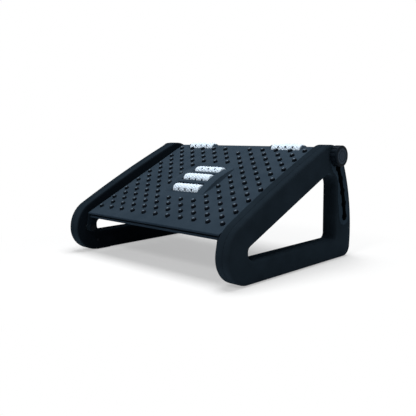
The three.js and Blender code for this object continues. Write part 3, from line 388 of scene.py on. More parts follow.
# %% Knob, cap, rubber, nylon and metal
knob_plastic = surface("knob_plastic", (11, 16, 22), (16, 22, 29), (0.4, 0.52), grain=0.6, depth=0.12,
                       patch=14, specular=0.03, tint=cool)
cap_plastic = surface("cap_plastic", (33, 43, 54), (39, 50, 61), satin, grain=0.5, patch=12,
                      specular=0.04, tint=cool)
foot_rubber = surface("foot_rubber", (21, 21, 22), (31, 31, 32), (0.78, 0.92), grain=0.7, depth=0.4,
                      patch=9, sheen=0.1, specular=0.3)
bush_nylon = surface("bush_nylon", (30, 34, 38), (38, 42, 46), (0.4, 0.52), grain=0.5, depth=0.08,
                     patch=8, specular=0.5)
black_steel = surface("black_steel", (15, 17, 20), (22, 25, 29), (0.4, 0.55), grain=0.4, patch=6,
                      metal=1.0, stretch=(1, 1, 5), specular=0.5)
brass = surface("brass", (170, 138, 70), (200, 170, 98), (0.22, 0.36), grain=0.4, patch=5, metal=1.0,
                specular=0.5)
by_slot = {"frame": frame_plastic, "tread": tread_plastic, "roller": roller_plastic,
           "knob": knob_plastic, "cap": cap_plastic, "foot": foot_rubber, "bush": bush_nylon,
           "steel": black_steel, "brass": brass}
print("slots with a finish:", ", ".join(by_slot))

# %% [markdown]
# ## The small solids that stay
#
# Screws, pins, axles, washers, feet and the plates under the rollers are already right in the packed
# model, and hardly show. They keep their shapes and take the finish of their material slot.

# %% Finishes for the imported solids
for name, node in nodes.items():
    own = [slot.material.name.split(".")[0] for slot in node.material_slots if slot.material]
    if not own or own[0] not in by_slot:
        print("no slot found for", name, own)
    for slot in node.material_slots:
        slot.material = by_slot.get(own[0] if own else "", frame_plastic)
print("finishes in use:", sorted({n.material_slots[0].material.name for n in nodes.values()}))


# %% [markdown]
# ## Side profile
#
# Seen from the side, the frame is a leaf: a round nose, a rim that climbs at 28.5 and then 24 degrees,
# and a rear edge that is an arc about the tilt axis, because the knob follows that arc. The corners
# below are where those lines meet, and each is rounded by its own radius.

# %% Sizes of the side profile
foot_proud = 1.5
nose_tip = -174.5
nose_top = 83.2
nose_lower_radius = 49.0
nose_upper_radius = 62.0
rim_front_slope = 28.5
rim_rear_slope = 24.0
rim_knee_setback = 136.4
rim_knee_radius = 2600.0
rim_end_radius = 41.0
rear_radius = 322.2
rear_top_angle = 25.5
rear_foot_angle = -5.5
heel_radius = 20.6
lower_bar = 38.6
rear_leg = 52.5
opening_setback = 47.4
opening_tip_rise = 20.8
opening_slope = 25.0
opening_radii = {"front": 11.0, "heel": 9.3, "peak": 23.7, "tip": 9.0}
print("frame depth:", round(pivot[0] + rear_radius - nose_tip, 1), "mm")


# %% Corners of the frame and its opening
def line_meets(start, slope, other, other_slope):
    """Where the line through a point at a slope in degrees meets another: from the first point, go
    along its line by (gap x other run) / (run x other run)."""
    run, other_run = polar(1.0, np.radians([slope, other_slope]))
    gap = np.array(other) - np.array(start)
    return np.array(start) + run * flat_cross(gap, other_run) / flat_cross(run, other_run)


def on_arc(radius, angle):
    """A point at a distance and an angle from the tilt axis."""
    return pivot + polar(radius, angle)


knee = line_meets((nose_tip, nose_top), rim_front_slope, (nose_tip + rim_knee_setback, 0), 90)
arc_top = on_arc(rear_radius, math.radians(rear_top_angle))
arc_foot = on_arc(rear_radius, math.radians(rear_foot_angle))
rim_end = line_meets(knee, rim_rear_slope, arc_top, rear_top_angle + 90)
bulge = line_meets(arc_top, rear_top_angle + 90, arc_foot, rear_foot_angle + 90)
heel = line_meets((nose_tip, foot_proud), 0, arc_foot, rear_foot_angle + 90)
frame_corners = [
    (nose_tip, foot_proud, nose_lower_radius), (*heel, heel_radius), (*bulge, rear_radius),
    (*rim_end, rim_end_radius), (*knee, rim_knee_radius), (nose_tip, nose_top, nose_upper_radius),
]
opening_front = nose_tip + opening_setback
opening_rear = pivot[0] + rear_radius - rear_leg
opening_floor = foot_proud + lower_bar
opening_tip = (opening_front, opening_floor + opening_tip_rise)
opening_peak = line_meets(opening_tip, opening_slope, (opening_rear, 0), 90)
opening_corners = [
    (opening_front, opening_floor, opening_radii["front"]),
    (opening_rear, opening_floor, opening_radii["heel"]),
    (*opening_peak, opening_radii["peak"]), (*opening_tip, opening_radii["tip"]),
]
outline = rounded(frame_corners)
print("outline:", len(outline), "points, box", outline.min(axis=0).round(1), outline.max(axis=0).round(1))

# %% [markdown]
# ## Slot and pad
#
# The knob's stud runs in a curved slot and drops into one of six notches, which sets the slope of the
# board. A pad stands a little proud round the slot, for the knob to press on. Both are bands about
# the tilt axis, so their edges are worked out by angle and distance, and the slot is wider at a notch.

# %% Slot
slot_radius = float(np.hypot(*(stud - pivot)))
stud_angle = math.atan2(stud[1] - pivot[1], stud[0] - pivot[0])
tilt_range = math.radians(23.5)
slot_low = stud_angle - tilt_range
slot_half = 4.5
notch_count = 6
notch_radius = 5.7


def arc_band(outer, inner, angles, low_end, high_end, steps=14):
    """A band between two radii about the tilt axis, with half circles of given radii as its ends."""
    sweep = np.linspace(0, np.pi, steps + 1)[1:-1]

    def end(angle, radius, start):
        """A half circle about the slot's middle at an angle, from a start angle on."""
        return on_arc(slot_radius, angle) + polar(radius, sweep + start)

    return np.concatenate([
        on_arc(outer, angles), end(angles[-1], high_end, angles[-1]),
        on_arc(inner, angles)[::-1], end(angles[0], low_end, angles[0] + np.pi),
    ])


def slot_outline(grow=0.0, notched=True, deep=0.0):
    """The slot: half as wide as its band, or as the notch circle where that is wider, which at a
    distance d along the arc from a notch's middle is the root of (notch radius squared - d squared).
    The notches can be cut deeper than the slot is grown."""
    cut = notch_radius + deep
    angles = np.linspace(slot_low, stud_angle, 241)
    notches = np.linspace(slot_low, stud_angle, notch_count)
    nearest = np.abs(angles[:, None] - notches).min(axis=1) * slot_radius
    half = np.maximum(slot_half, np.sqrt(np.clip(cut**2 - nearest**2, 0, None)))
    half = (half if notched else np.full_like(half, cut)) + grow
    return arc_band(slot_radius + half, slot_radius - half, angles, cut + grow, cut + grow)


print("slot radius", round(slot_radius, 2), "mm, stud at", round(math.degrees(stud_angle), 2), "degrees")

# %% Pad round the slot
edge_round = 4.0
pad_half = 16.5
pad_foot = 14.0
pad_clear = 0.4
peak_centre_height = 139.9


def pad_outline(inset=0.0):
    """The raised pad round the slot. On its front side it keeps off the opening's rounded edge: the
    ray from the tilt axis leaves the edge's straight line, or its corner's circle, at that radius."""
    angles = np.linspace(slot_low, stud_angle, 121)
    straight = (opening_rear + edge_round + pad_clear - pivot[0]) / np.cos(angles)
    peak_circle = np.array([opening_rear - opening_radii["peak"], peak_centre_height]) - pivot
    along = peak_circle[0] * np.cos(angles) + peak_circle[1] * np.sin(angles)
    kept_off = opening_radii["peak"] + edge_round + pad_clear
    room = kept_off**2 - (peak_circle**2).sum() + along**2
    curved = np.where(room > 0, along + np.sqrt(np.clip(room, 0, None)), 0)
    edge = np.where(pivot[1] + straight * np.sin(angles) < peak_centre_height, straight, curved)
    inner = np.maximum(slot_radius - pad_half, edge) + inset
    return arc_band(slot_radius + pad_half - inset, inner, angles, pad_half - inset, pad_foot - inset, 24)


print("slot outline:", len(slot_outline()), "points, pad outline:", len(pad_outline()), "points")

# %% [markdown]
# ## Side frames
#
# Each frame is two shells that meet on a plane, and on the real one that joint shows as a fine dark
# line all round. A raised pad stands round the slot, painted lighter than the frame as a painted sheen.
# Black painted shade lines the slot and rings its edge, and the inner faces are darker by painted shade.
# Here each shell is a stack of outlines. The last layers follow a quarter circle for the 4 mm edge,
# and the layer next to the joint is set in a little, so that the line catches shadow.

# %% Outer and inner shells
outer_face = 224.0
parting = 210.0
joint_gap = 0.3
joint_round = 0.5
bush_hole = 7.4
screw_hole = 3.5
screw_places = [
    np.array([opening_front, foot_proud + lower_bar / 2]),
    np.array([opening_rear - opening_radii["peak"], foot_proud + lower_bar / 2]),
    (knee + rim_end + line_meets(opening_tip, opening_slope, (knee[0], 0), 90) + opening_peak) / 4,
]


def frame_loops(inset, *more):
    """The frame's outline set in, its opening grown as much, and any further holes."""
    return [rounded(frame_corners, inset), rounded(opening_corners, -inset), *more]


outer_levels = eased(parting + joint_gap / 2, outer_face, joint_round, edge_round, 6)
outer_shell = slab([(x, frame_loops(inset, slot_outline())) for x, inset in outer_levels], across)
inner_levels = eased(inner_face, parting - joint_gap / 2, edge_round, joint_round, 6)
inner_holes = [slot_outline(notched=False), circle(pivot, bush_hole),
               *(circle(at, screw_hole, 20) for at in screw_places)]
inner_shell = slab([(x, frame_loops(inset, *inner_holes)) for x, inset in inner_levels], across)
print("shells from", inner_levels[0][0], "to", outer_levels[-1][0], "mm off the middle")

# %% Pad and the painted shade of the slot, and the pieces of both frames
pad_proud = 1.4
pad_root = 0.6
pad_round = 1.1
slot_lip = 1.4
notch_lip = 1.3
let_in = 0.4
inside = 0.1
pad_top = outer_face + pad_proud
pad_levels = eased(outer_face - pad_root, pad_top, 0.0, pad_round, 5)
pad = slab([(x, [pad_outline(inset), slot_outline(grow=slot_lip - 0.2 + inset * 0.4, deep=notch_lip)])
            for x, inset in pad_levels], across)
# The sleeve and the lip are black: painted shade on the slot's walls and round its edge.
sleeve_loops = [slot_outline(grow=let_in), slot_outline(grow=0.02 - inside)]
sleeve = prism(sleeve_loops, parting - 1.5, pad_top - 0.6, across)
lip_loops = [slot_outline(grow=slot_lip, deep=notch_lip), slot_outline(grow=-inside)]
lip = prism(lip_loops, outer_face - let_in, pad_top - let_in, across)
shade_liner = together(sleeve, lip)
sides = {"right": False, "left": True}
for side, mirror in sides.items():
    finished(f"{side}_frame_outer", outer_shell, frame_plastic, "base",
             [f"{side}_outer_shell"], mirror=mirror)
    finished(f"{side}_frame_inner", inner_shell, inner_plastic, "base",
             [f"{side}_inner_shell"], mirror=mirror)
    finished(f"{side}_slot_pad", pad, pad_plastic, "base", mirror=mirror)
    finished(f"{side}_slot_shade_liner", shade_liner, painted_shade_black, "base", mirror=mirror)

# %% [markdown]
# ## Tread board
#
# The board is a plate, a front edge, two side walls with the ears that hang on the pins, and ribs
# below. The plate has a hole under the hump, and is notched at the rear for two rollers.

# %% Plate
board_front = 7.0
board_rear = 305.0
board_half = 184.5
plate_thickness = 3.0
roller_length = 70.0
roller_room = 1.2
under = board_rise - plate_thickness
rear_roller = joint_place["right_rear_roller_turn"]
rear_x = float(rear_roller[0])
notch_front = 290.2
pocket = roller_length / 2 + roller_room
rear_notch = [(pocket, board_rear, 0.8), (pocket, notch_front, 1.6), (-pocket, notch_front, 1.6),
              (-pocket, board_rear, 0.8)]
plate_corners = [
    (-board_half, board_front + 1.7, 0.6), (board_half, board_front + 1.7, 0.6),
    (board_half, board_rear, 5.0),
    *((middle + x, along, radius) for middle in (rear_x, -rear_x) for x, along, radius in rear_notch),
    (-board_half, board_rear, 5.0),
]
print("tread at the front edge, z =", on_board(0, board_front, board_rise)[2].round(1), "mm")

# %% Hole under the hump
hump_middle = 161.3
hump_half_length = 50.3
hump_half_width = 53.4
hump_foot_bow = 6.2
hump_overlap = 1.6


def hump_share(along):
    """How far a place is from the hump's ends: 1 in its middle and 0 at both ends, on a parabola."""
    return 1 - ((along - hump_middle) / hump_half_length) ** 2


def hump_foot(inset, steps=30):
    """The line where the hump's side walls meet the plate: it bows outwards along a parabola."""
    reach = hump_half_length - inset
    along = np.linspace(hump_middle - reach, hump_middle + reach, steps)
    half = hump_half_width - inset + hump_foot_bow * hump_share(along)
    return np.concatenate([np.stack([half, along], -1), np.stack([-half, along], -1)[::-1]])


plate = slab([(h, [rounded(plate_corners, inset), hump_foot(hump_overlap)])
              for h, inset in eased(under, board_rise, 0.3, 0.8)], on_board)
finished("tread_shell", plate, tread_plastic, "platform", ["tread_board"])


# %% [markdown]
# ## Front edge and side walls
#
# The front edge is a lip that hangs down, a groove and a round bead below it. Each side wall runs
# back from an ear on the tilt pin to the clamp's boss. All of them are outlines drawn in the side view
# and carried across the board. The shade in the groove is painted, as a black strip of its own set back
# in the plastic, and the front edge and the side walls take darker copies of the board's plastic as
# painted shade.


# %% Front edge with its groove
def beside_board(along, rise, x):
    """The board's place for a slab whose outline is drawn in the side view."""
    return on_board(x, along, rise)


front_corners = [
    (14.4, 30.75, 0.1), (board_front, 30.75, 1.65), (board_front, 27.4, 1.65), (8.8, 27.4, 0.3),
    (8.8, 24.4, 0.3), (6.4, 24.4, 2.79), (6.4, 18.8, 2.79), (11.4, 18.8, 0.4), (11.4, 27.8, 0.4),
    (14.4, 27.8, 0.1),
]
front_edge = slab([(x, [rounded(front_corners, inset, 0.5)])
                   for x, inset in eased(-board_half, board_half, 0.5, 0.5, 3)], beside_board)
# A black strip in the groove: painted shade.
groove_corners = [(7.7, 27.6, 0.2), (7.7, 24.2, 0.2), (9.3, 24.2, 0.2), (9.3, 27.6, 0.2)]
groove_half = board_half - 0.6
groove = prism([rounded(groove_corners, 0, 0.5)], -groove_half, groove_half, beside_board)
finished("tread_front_edge", front_edge, edge_shaded_plastic, "platform")
finished("tread_front_groove", groove, painted_shade_black, "platform")

# %% Side walls, with their ears and clamp bosses
skirt_depth = 12.0
cheek_wall = 3.4
ear_radius = 8.5
skirt_under = board_rise - skirt_depth
cheek_foot = 9.0
cheek_top = under + 0.6
cheek_corners = [
    (-ear_radius, -ear_radius, ear_radius), (ear_radius, -ear_radius, ear_radius),
    (20.0, skirt_under, 6.0), (282.7, skirt_under, 7.4), (290.1, cheek_foot, 7.4),
    (board_rear, cheek_foot, 5.0), (board_rear, cheek_top, 0.5), (board_front, cheek_top, 0.5),
    (-ear_radius, ear_radius, ear_radius),
]
cheek = slab([(x, [rounded(cheek_corners, inset)])
              for x, inset in eased(board_half - cheek_wall, board_half, 0.4, 0.6, 3)], beside_board)


def collar(radius, bevel, low, high, centre, bore=4.3):
    """A bored disc along X from low to high, with both of its rims bevelled."""
    return turned([(bore, low), (radius - bevel, low), (radius, low + bevel), (radius, high - bevel),
                   (radius - bevel, high), (bore, high), (bore, low)], 40, centre)


def both_sides(form):
    """A form and its mirror image."""
    points, faces = form
    return together(form, (points * (-1, 1, 1), faces))


hub = collar(8.2, 0.6, 178.5, 191.2, pivot)
boss = collar(7.4, 0.5, 175.1, 190.9, stud)
cheeks = together(both_sides(cheek), both_sides(hub), both_sides(boss))
finished("tread_cheeks", cheeks, cheek_shaded_plastic, "platform")

# %% [markdown]
# ## Hump
#
# The hump that carries the three centre rollers is a thin arched skin. Its top is a parabola along the
# board, and its side walls lean and bow outwards, so they shrink to nothing at both ends. It is a
# sheet with a top and an underside on the same grid. Where a roller stands out, the grid's cells are
# left out, and walls close the sheet along every edge between a kept cell and a missing one.


# %% A closed sheet
def sheet(top, bottom, kept):
    """A closed sheet: the kept cells of two grids, and walls between them where the keeping ends."""
    rows, columns = top.shape[:2]
    index = np.arange(rows * columns).reshape(rows, columns)
    lower = index + rows * columns
    cells = np.stack([index[:-1, :-1], index[:-1, 1:], index[1:, 1:], index[1:, :-1]], axis=-1)
    padded = np.pad(kept, 1)
    turn_row = padded[1:, 1:-1] != padded[:-1, 1:-1]
    turn_column = padded[1:-1, 1:] != padded[1:-1, :-1]
    wall_row = np.stack([index[:, :-1], index[:, 1:], lower[:, 1:], lower[:, :-1]], axis=-1)
    wall_column = np.stack([index[:-1, :], index[1:, :], lower[1:, :], lower[:-1, :]], axis=-1)
    faces = np.concatenate([cells[kept], (cells + rows * columns)[kept][:, ::-1],
                            wall_row[turn_row], wall_column[turn_column]])
    used, faces = np.unique(faces, return_inverse=True)
    points = np.concatenate([top.reshape(-1, 3), bottom.reshape(-1, 3)])[used]
    return points, [faces.reshape(-1, 4)]


# %% Where the hump's grid lines run along the board
roller_radius = 11.0
centre_clearance = 2.2
centre_alongs = []
for name in ("front", "middle", "back"):
    gap = joint_place[f"{name}_centre_roller_turn"][1:] - pivot
    centre_alongs.append(gap[0] * math.cos(rest_tilt) + gap[1] * math.sin(rest_tilt))
half_pocket = roller_radius + centre_clearance
pockets = [(a - half_pocket, a + half_pocket) for a in centre_alongs]
ends = [hump_middle - hump_half_length, hump_middle + hump_half_length]
stops = sorted([*ends, *(edge for pair in pockets for edge in pair)])
pieces = [np.linspace(a, b, 8)[:-1] for a, b in zip(stops[:-1], stops[1:])]
alongs = np.concatenate([*pieces, [ends[1]]])
print("rollers at", np.round(centre_alongs, 1).tolist(), "mm along the board;", len(alongs), "grid lines")

# %% Hump
hump_rise = 7.5
hump_top_bow = 3.0
hump_lining = 2.6
hump_edge_round = 1.6
edge_share = 0.48
flat_half = 50.0
foot_sink = 1.2
share = hump_share(alongs)[:, None]
crown = board_rise + hump_rise * share
foot_x = hump_half_width + hump_foot_bow * share
edge_x = hump_half_width + hump_top_bow * share
edge_turn = np.minimum(hump_edge_round, edge_share * hump_rise * share)
turn = np.linspace(0, np.pi / 2, 6)
flat_x = np.linspace(flat_half, pocket, 4)[1:] + 0 * share
side_x = np.concatenate([foot_x, edge_x - edge_turn * (1 - np.cos(turn)), flat_x], axis=1)
side_t = np.concatenate([board_rise - foot_sink + 0 * share, crown - edge_turn * (1 - np.sin(turn)),
                         crown + 0 * flat_x], axis=1)
cross_x = np.concatenate([side_x, -side_x[:, ::-1]], axis=1)
cross_t = np.concatenate([side_t, side_t[:, ::-1]], axis=1)
inner_half = (np.abs(cross_x) - hump_lining).clip(pocket + 0.3)
inner_x = np.where(np.abs(cross_x) <= pocket + 0.01, cross_x, np.sign(cross_x) * inner_half)
inner_t = np.maximum(cross_t, board_rise) - hump_lining
mid_along = (alongs[1:] + alongs[:-1]) / 2
in_pocket = np.any([(mid_along > a) & (mid_along < b) for a, b in pockets], axis=0)
kept = np.ones((len(alongs) - 1, cross_x.shape[1] - 1), bool)
kept[in_pocket, side_x.shape[1] - 1] = False
top, bottom = on_board(cross_x, alongs[:, None], cross_t), on_board(inner_x, alongs[:, None], inner_t)
finished("tread_hump", sheet(top, bottom, kept), tread_plastic, "platform", sharp=50)

# %% [markdown]
# ## Domes
#
# The sole of a shoe rests on rows of round domes, each row shifted by half a pitch against the last.
# Their tops are painted paler as a highlight, which the material's fade makes from the height over the
# tread.
# All the domes are one small turned profile, copied to every place by adding arrays. The domes that
# the hump takes up are left out, and those at the rear rollers are cut flat, as the notch cuts them.

# %% Places of the domes
dome_pitch, dome_row_pitch, dome_first, dome_rows, dome_columns = 34.0, 17.9, 35.1, 15, 11
clear_half_width, clear_half_length = 60.0, 56.1
rows, columns = np.meshgrid(np.arange(dome_rows), np.arange(dome_columns), indexing="ij")
dome_x = (columns - (dome_columns - 1) / 2) * dome_pitch + (rows % 2) * dome_pitch / 2
dome_s = dome_first + rows * dome_row_pitch
present = (columns < dome_columns - rows % 2)
present &= (np.abs(dome_x) > clear_half_width) | (np.abs(dome_s - hump_middle) > clear_half_length)
present &= (dome_x != 0) | (rows < dome_rows - 1)
dome_x, dome_s = dome_x[present], dome_s[present]
print("domes:", len(dome_x), "in", dome_rows, "rows")

# %% Domes
dome_profile = np.array([(0, -0.5), (4.9, -0.5), (4.7, 0.1), (4.65, 1.5), (4.2, 2.9), (3.3, 3.9),
                         (1.9, 4.5), (0, 4.7)])
turn = np.linspace(0, 2 * np.pi, 16, endpoint=False)
all_x = dome_x[:, None, None] + dome_profile[:, 0, None] * np.cos(turn)
all_s = dome_s[:, None, None] + dome_profile[:, 0, None] * np.sin(turn)
at_notch = (np.abs(np.abs(dome_x) - rear_x) < pocket)[:, None, None]
all_s = np.where(at_notch, np.minimum(all_s, notch_front - 0.4), all_s)
dome_points = on_board(all_x, all_s, board_rise + dome_profile[:, 1, None]).reshape(-1, 3)
one_dome = grid_faces(len(dome_profile), len(turn), wrap=True)
dome_faces = one_dome + (len(dome_profile) * len(turn) * np.arange(len(dome_x)))[:, None, None]
domes = dome_points, [dome_faces.reshape(-1, 4)]
finished("tread_domes", domes, dome_rubber, "platform", sharp=70)

# %% [markdown]
# ## Under the board
#
# A moulded plate this wide needs ribs, or it would sag under two feet. Below the tread there is a grid
# of thin ribs, a skirt along the rear, and the walls of three bays that hold the rollers' axles. Round
# posts take the screws of the plates that close the bays, and lugs carry the rear axles. All the flat
# walls are plain blocks, the posts are slabs of a circle, and the lugs are turned forms.

# %% Ribs, skirt and walls of the rear bays
skirt_wall, bay_wall = 2.6, 3.6
rib_low, rib_high, rib_half = under - 8.0, under + 0.6, 0.9
rib_front, rib_rear, rib_reach = 10.8, 303.0, 181.5
crossways = (69.2, 127.7, 186.1, 244.6)
skirt_spans = ((-75.7, 75.7), (159.3, 169.5), (-169.5, -159.3))
centre_front, centre_rear, centre_floor = 111.0, 211.6, 15.27
rear_front, rear_back, rear_floor = 285.2, 308.4, 12.1
lengthways = [(26.0, rib_front, centre_front), (26.0, centre_rear, rib_rear), (77.9, rib_front, rib_rear),
              (129.8, rib_front, rear_front)]
ribs = [[[way * x - rib_half, a, rib_low], [way * x + rib_half, b, rib_high]]
        for x, a, b in lengthways for way in (-1, 1)]
beside_bay = [(-rib_reach, -pocket), (pocket, rib_reach)]
for s in crossways:
    spans = beside_bay if centre_front < s < centre_rear else [(-rib_reach, rib_reach)]
    ribs += [[[a, s - rib_half, rib_low], [b, s + rib_half, rib_high]] for a, b in spans]
for a, b in skirt_spans:
    ribs.append([[a, board_rear - skirt_wall, skirt_under], [b, board_rear, rib_high]])
for way in (-1, 1):
    for near in (rear_x - pocket - bay_wall, rear_x + pocket):
        low, high = sorted((way * near, way * (near + bay_wall)))
        ribs.append([[low, rear_front, rear_floor], [high, rear_back, rib_high]])
rib_form = blocks(ribs, on_board)
print("blocks under the board:", len(ribs))

# %% Walls of the centre bay, which follow the hump
under_crown = 1.4
arch = np.linspace(centre_front, centre_rear, 25)
arch_top = np.maximum(rib_high, board_rise + hump_rise * hump_share(arch) - under_crown)
wall_line = np.concatenate([[[centre_front, centre_floor], [centre_rear, centre_floor]],
                            np.stack([arch, arch_top], -1)[::-1]])
bay_side = prism([wall_line], pocket, pocket + bay_wall, beside_board)
print("centre bay's wall is", round(arch_top.max() - centre_floor, 1), "mm high at most")


# %% Screw posts and axle lugs
def post(x, s, low, high, radius=4.0):
    """A round post square to the board."""
    return prism([circle((x, s), radius, 20)], low, high, on_board)


post_off, centre_posts, centre_post_top, rear_posts = 44.8, (118.6, 204.0), 31.2, 298.0
posts = [post(way * post_off, s, centre_floor, centre_post_top) for way in (-1, 1) for s in centre_posts]
posts += [post(way * (rear_x + off), rear_posts, rear_floor, rib_high)
          for way in (-1, 1) for off in (-post_off, post_off)]
lug = [(0.0, 0.0), (8.4, 0.0), (9.0, 0.5), (9.0, 3.2), (8.7, 3.8), (5.7, 8.5), (5.1, 9.0), (0.0, 9.0)]
lugs = [turned([(r, start + way * step) for r, step in lug], 40, rear_roller[1:])
        for start, way in ((rear_x + pocket, 1), (rear_x - pocket, -1))]
underside = together(rib_form, both_sides(bay_side), *posts, *(both_sides(form) for form in lugs))
finished("tread_underside", underside, tread_plastic, "platform")

# %% [markdown]
# ## Rollers
#
# Each roller is a pale tube covered with fine nubs, which give the top edge its serrated look. Three
# small windows stand in a row on two opposite sides, and the shade inside them is painted by a
# separate dark form behind them. The surface is a grid round and along the roller, and its radius is
# the tube's, with the nubs added and the windows taken off. A nub is a round cap: its height times the
# root of 1 - (distance / radius) squared.

# %% Relief of a roller
nub_height, nub_radius, nubs_round, nub_pitch, bare_end = 1.0, 1.5, 14, 4.6, 4.5
window_half, window_depth, window_softness, window_rim = np.array([2.0, 2.9]), 5.0, 0.06, 1.5


def roller_relief(window_turn, middle):
    """The change of a roller's radius by angle and place along it, for its nubs and windows."""
    def relief(radius, x, angle):
        """Adds the nubs' caps and takes off the windows, each a soft step from 1 inside to 0 outside:
        1 / (1 + e to the power (reach - 1) / softness)."""
        along = x - middle
        row = np.round(along / nub_pitch)
        step = 2 * np.pi / nubs_round
        shift = (row % 2) * step / 2
        round_off = ((angle - shift + step / 2) % step - step / 2) * roller_radius
        distance = np.hypot(along - row * nub_pitch, round_off)
        nub = nub_height * np.sqrt(np.clip(1 - (distance / nub_radius) ** 2, 0, None))
        nub = nub * (np.abs(row) * nub_pitch < roller_length / 2 - bare_end)
        start = math.radians(window_turn) + rest_tilt
        from_window = ((angle - start + np.pi / 2) % np.pi - np.pi / 2) * roller_radius
        along_window = np.minimum(np.abs(along), np.abs(np.abs(along) - roller_length / 4))
        reach = np.hypot(along_window / window_half[0], from_window / window_half[1])
        hollow = 1 / (1 + np.exp((reach - 1) / window_softness))
        body = np.abs(radius - roller_radius) < 0.01
        return radius + body * (nub * (reach > window_rim) - window_depth * hollow)
    return relief


nub_rows = 2 * int((roller_length / 2 - bare_end) / nub_pitch) + 1
print("nubs on a roller:", nubs_round, "x", nub_rows, "at most")


# %% Forms of a roller and of the painted shade in its windows
def roller_form(place, window_turn, bend=2.2, bore=2.8):
    """A roller from its bore over one rounded end, along the tube, and back through the bore."""
    half = roller_length / 2
    turn = np.linspace(0, np.pi / 2, 7)
    ends = [(roller_radius - bend * (1 - np.sin(a)), -half + bend * (1 - np.cos(a))) for a in turn]
    tube = [(roller_radius, x) for x in np.linspace(-half + bend, half - bend, 150)[1:-1]]
    profile = [(bore, -half), *ends, *tube, *[(r, -x) for r, x in ends[::-1]], (bore, half), (bore, -half)]
    profile = [(r, x + place[0]) for r, x in profile]
    return turned(profile, 168, place[1:], roller_relief(window_turn, place[0]))


def window_shade_form(place, window_turn):
    """The painted shade behind each window: a dark, shallow block bent round the axis."""
    def behind(along, width, depth):
        """A place along the roller stays, a width becomes an angle of width / radius, and a depth is
        taken off the radius."""
        angle = math.radians(window_turn) + rest_tilt + width / roller_radius
        radius = roller_radius - depth
        y, z = place[1] - radius * np.sin(angle), place[2] + radius * np.cos(angle)
        return np.stack([place[0] + along, y, z], -1)

    reach_x, reach_w = window_half + 0.3
    top, floor = 1.0, 2.4
    rows = np.array([-1, 0, 1]) * roller_length / 4
    spots = [(x, side * np.pi * roller_radius) for x in rows for side in (0, 1)]
    return blocks([[[x - reach_x, w - reach_w, top], [x + reach_x, w + reach_w, floor]]
                   for x, w in spots], behind)


# %% Rollers, each with its solid and the turn of its windows in degrees
rollers = [("front_centre", "centre_roller_1", 59.0), ("middle_centre", "centre_roller_2", 63.0),
           ("back_centre", "centre_roller_3", 12.0), ("left_rear", "left_rear_roller", 34.0),
           ("right_rear", "right_rear_roller", 34.0)]
for place, solid, window_turn in rollers:
    body = f"{place}_roller"
    axis = joint_place[f"{body}_turn"]
    skin = roller_form(axis, window_turn)
    finished(f"{body}_skin", skin, roller_plastic, body, [solid], sharp=60)
    finished(f"{body}_window_shades", window_shade_form(axis, window_turn), roller_hollow, body)

# %% [markdown]
# ## Knobs
#
# The grip has fourteen flat-topped ribs, so a hand can turn it hard, and a smooth disc in front. A
# slate cap with a round groove closes the front. The grip's radius falls between two ribs along a
# smooth step, which two ramps make: full on the rib, down over its flank, and low between.

# %% Knobs and caps
grip_ribs, rib_depth, rib_share, rib_flank = 14, 1.2, 0.45, 0.12
grip_end, grip_core = 236.2, 18.0


def ribbed(radius, x, angle):
    """Takes the ribs' depth off the grip's radius between two ribs. The smooth step of a ramp r from
    0 to 1 is r squared times (3 - 2 r)."""
    part = (angle * grip_ribs / (2 * np.pi)) % 1
    ramp = np.clip((part - rib_share) / rib_flank, 0, 1) * np.clip((1 - part) / rib_flank, 0, 1)
    ramp = ramp * ramp * (3 - 2 * ramp)
    grip = (x < grip_end) & (radius > grip_core)
    return radius - rib_depth * ramp * grip


knob_profile = [
    (0, 238.8), (14.8, 238.8), (14.8, 240.1), (15.1, 240.4), (17.9, 240.4), (18.6, 240.25),
    (19.15, 239.85), (19.45, 239.3), (19.5, 238.9), (19.5, 236.7), (19.2, 236.3), (19.4, 236.1),
    (19.5, 235.9), (19.5, 231.0), (19.5, 226.8), (19.2, 226.2), (18.6, 226.0), (13.2, 226.0),
    (13.2, 234.6), (4.3, 234.6), (4.3, 237.6), (0, 237.6),
]
cap_profile = [
    (0, 239.1), (14.4, 239.1), (14.5, 239.3), (14.5, 240.1), (14.2, 240.4), (10.7, 240.4), (10.3, 240.0),
    (9.7, 239.5), (9.1, 240.0), (8.7, 240.4), (4.0, 240.45), (0, 240.47),
]
knob_form = turned(knob_profile, grip_ribs * 20, stud, ribbed)
cap_form = turned(cap_profile, 96, stud)
for side, mirror in sides.items():
    body = f"{side}_knob"
    finished(f"{body}_grip", knob_form, knob_plastic, body, [body], mirror=mirror)
    finished(f"{body}_front", cap_form, cap_plastic, body, [f"{body}_cap"], sharp=25, mirror=mirror)

# %% [markdown]
# ## Room, light and camera
#
# The photograph is a studio picture on white: a large soft light overhead, a smaller one in front, a
# weak one from the right, and a floor that keeps only a soft shadow. The camera sees white where it
# looks past the object, through a Light Path switch, so that white doesn't light the object from all
# round. The floor is painted near the object, where it takes the shadow, and glows white further out.


# %% White for the camera alone
def camera_white(tree, shader, share):
    """Mixes a white glow into a shader, by a share, for what the camera, mirrors and glass see."""
    path = tree.nodes.new("ShaderNodeLightPath").outputs
    seen = path["Is Camera Ray"]
    for also in ("Is Glossy Ray", "Is Transmission Ray"):
        seen = add(tree, "Math", {0: seen, 1: path[also]}, operation="MAXIMUM")
    scaled = add(tree, "Math", {0: seen, 1: share}, operation="MULTIPLY")
    glow = add(tree, "Emission", {"Color": (1, 1, 1, 1)})
    return add(tree, "MixShader", {"Fac": scaled, 1: shader, 2: glow})


world = bpy.data.worlds.new("studio")
bpy.context.scene.world = world
world.use_nodes = True
tree = world.node_tree
sky = tree.nodes["Background"]
fill(tree, sky, {"Color": (0.9, 0.95, 1.0, 1), "Strength": 0.15})
fill(tree, tree.nodes["World Output"], {"Surface": camera_white(tree, sky.outputs[0], 1.0)})
print("the world's own light:", round(sky.inputs["Strength"].default_value, 2))

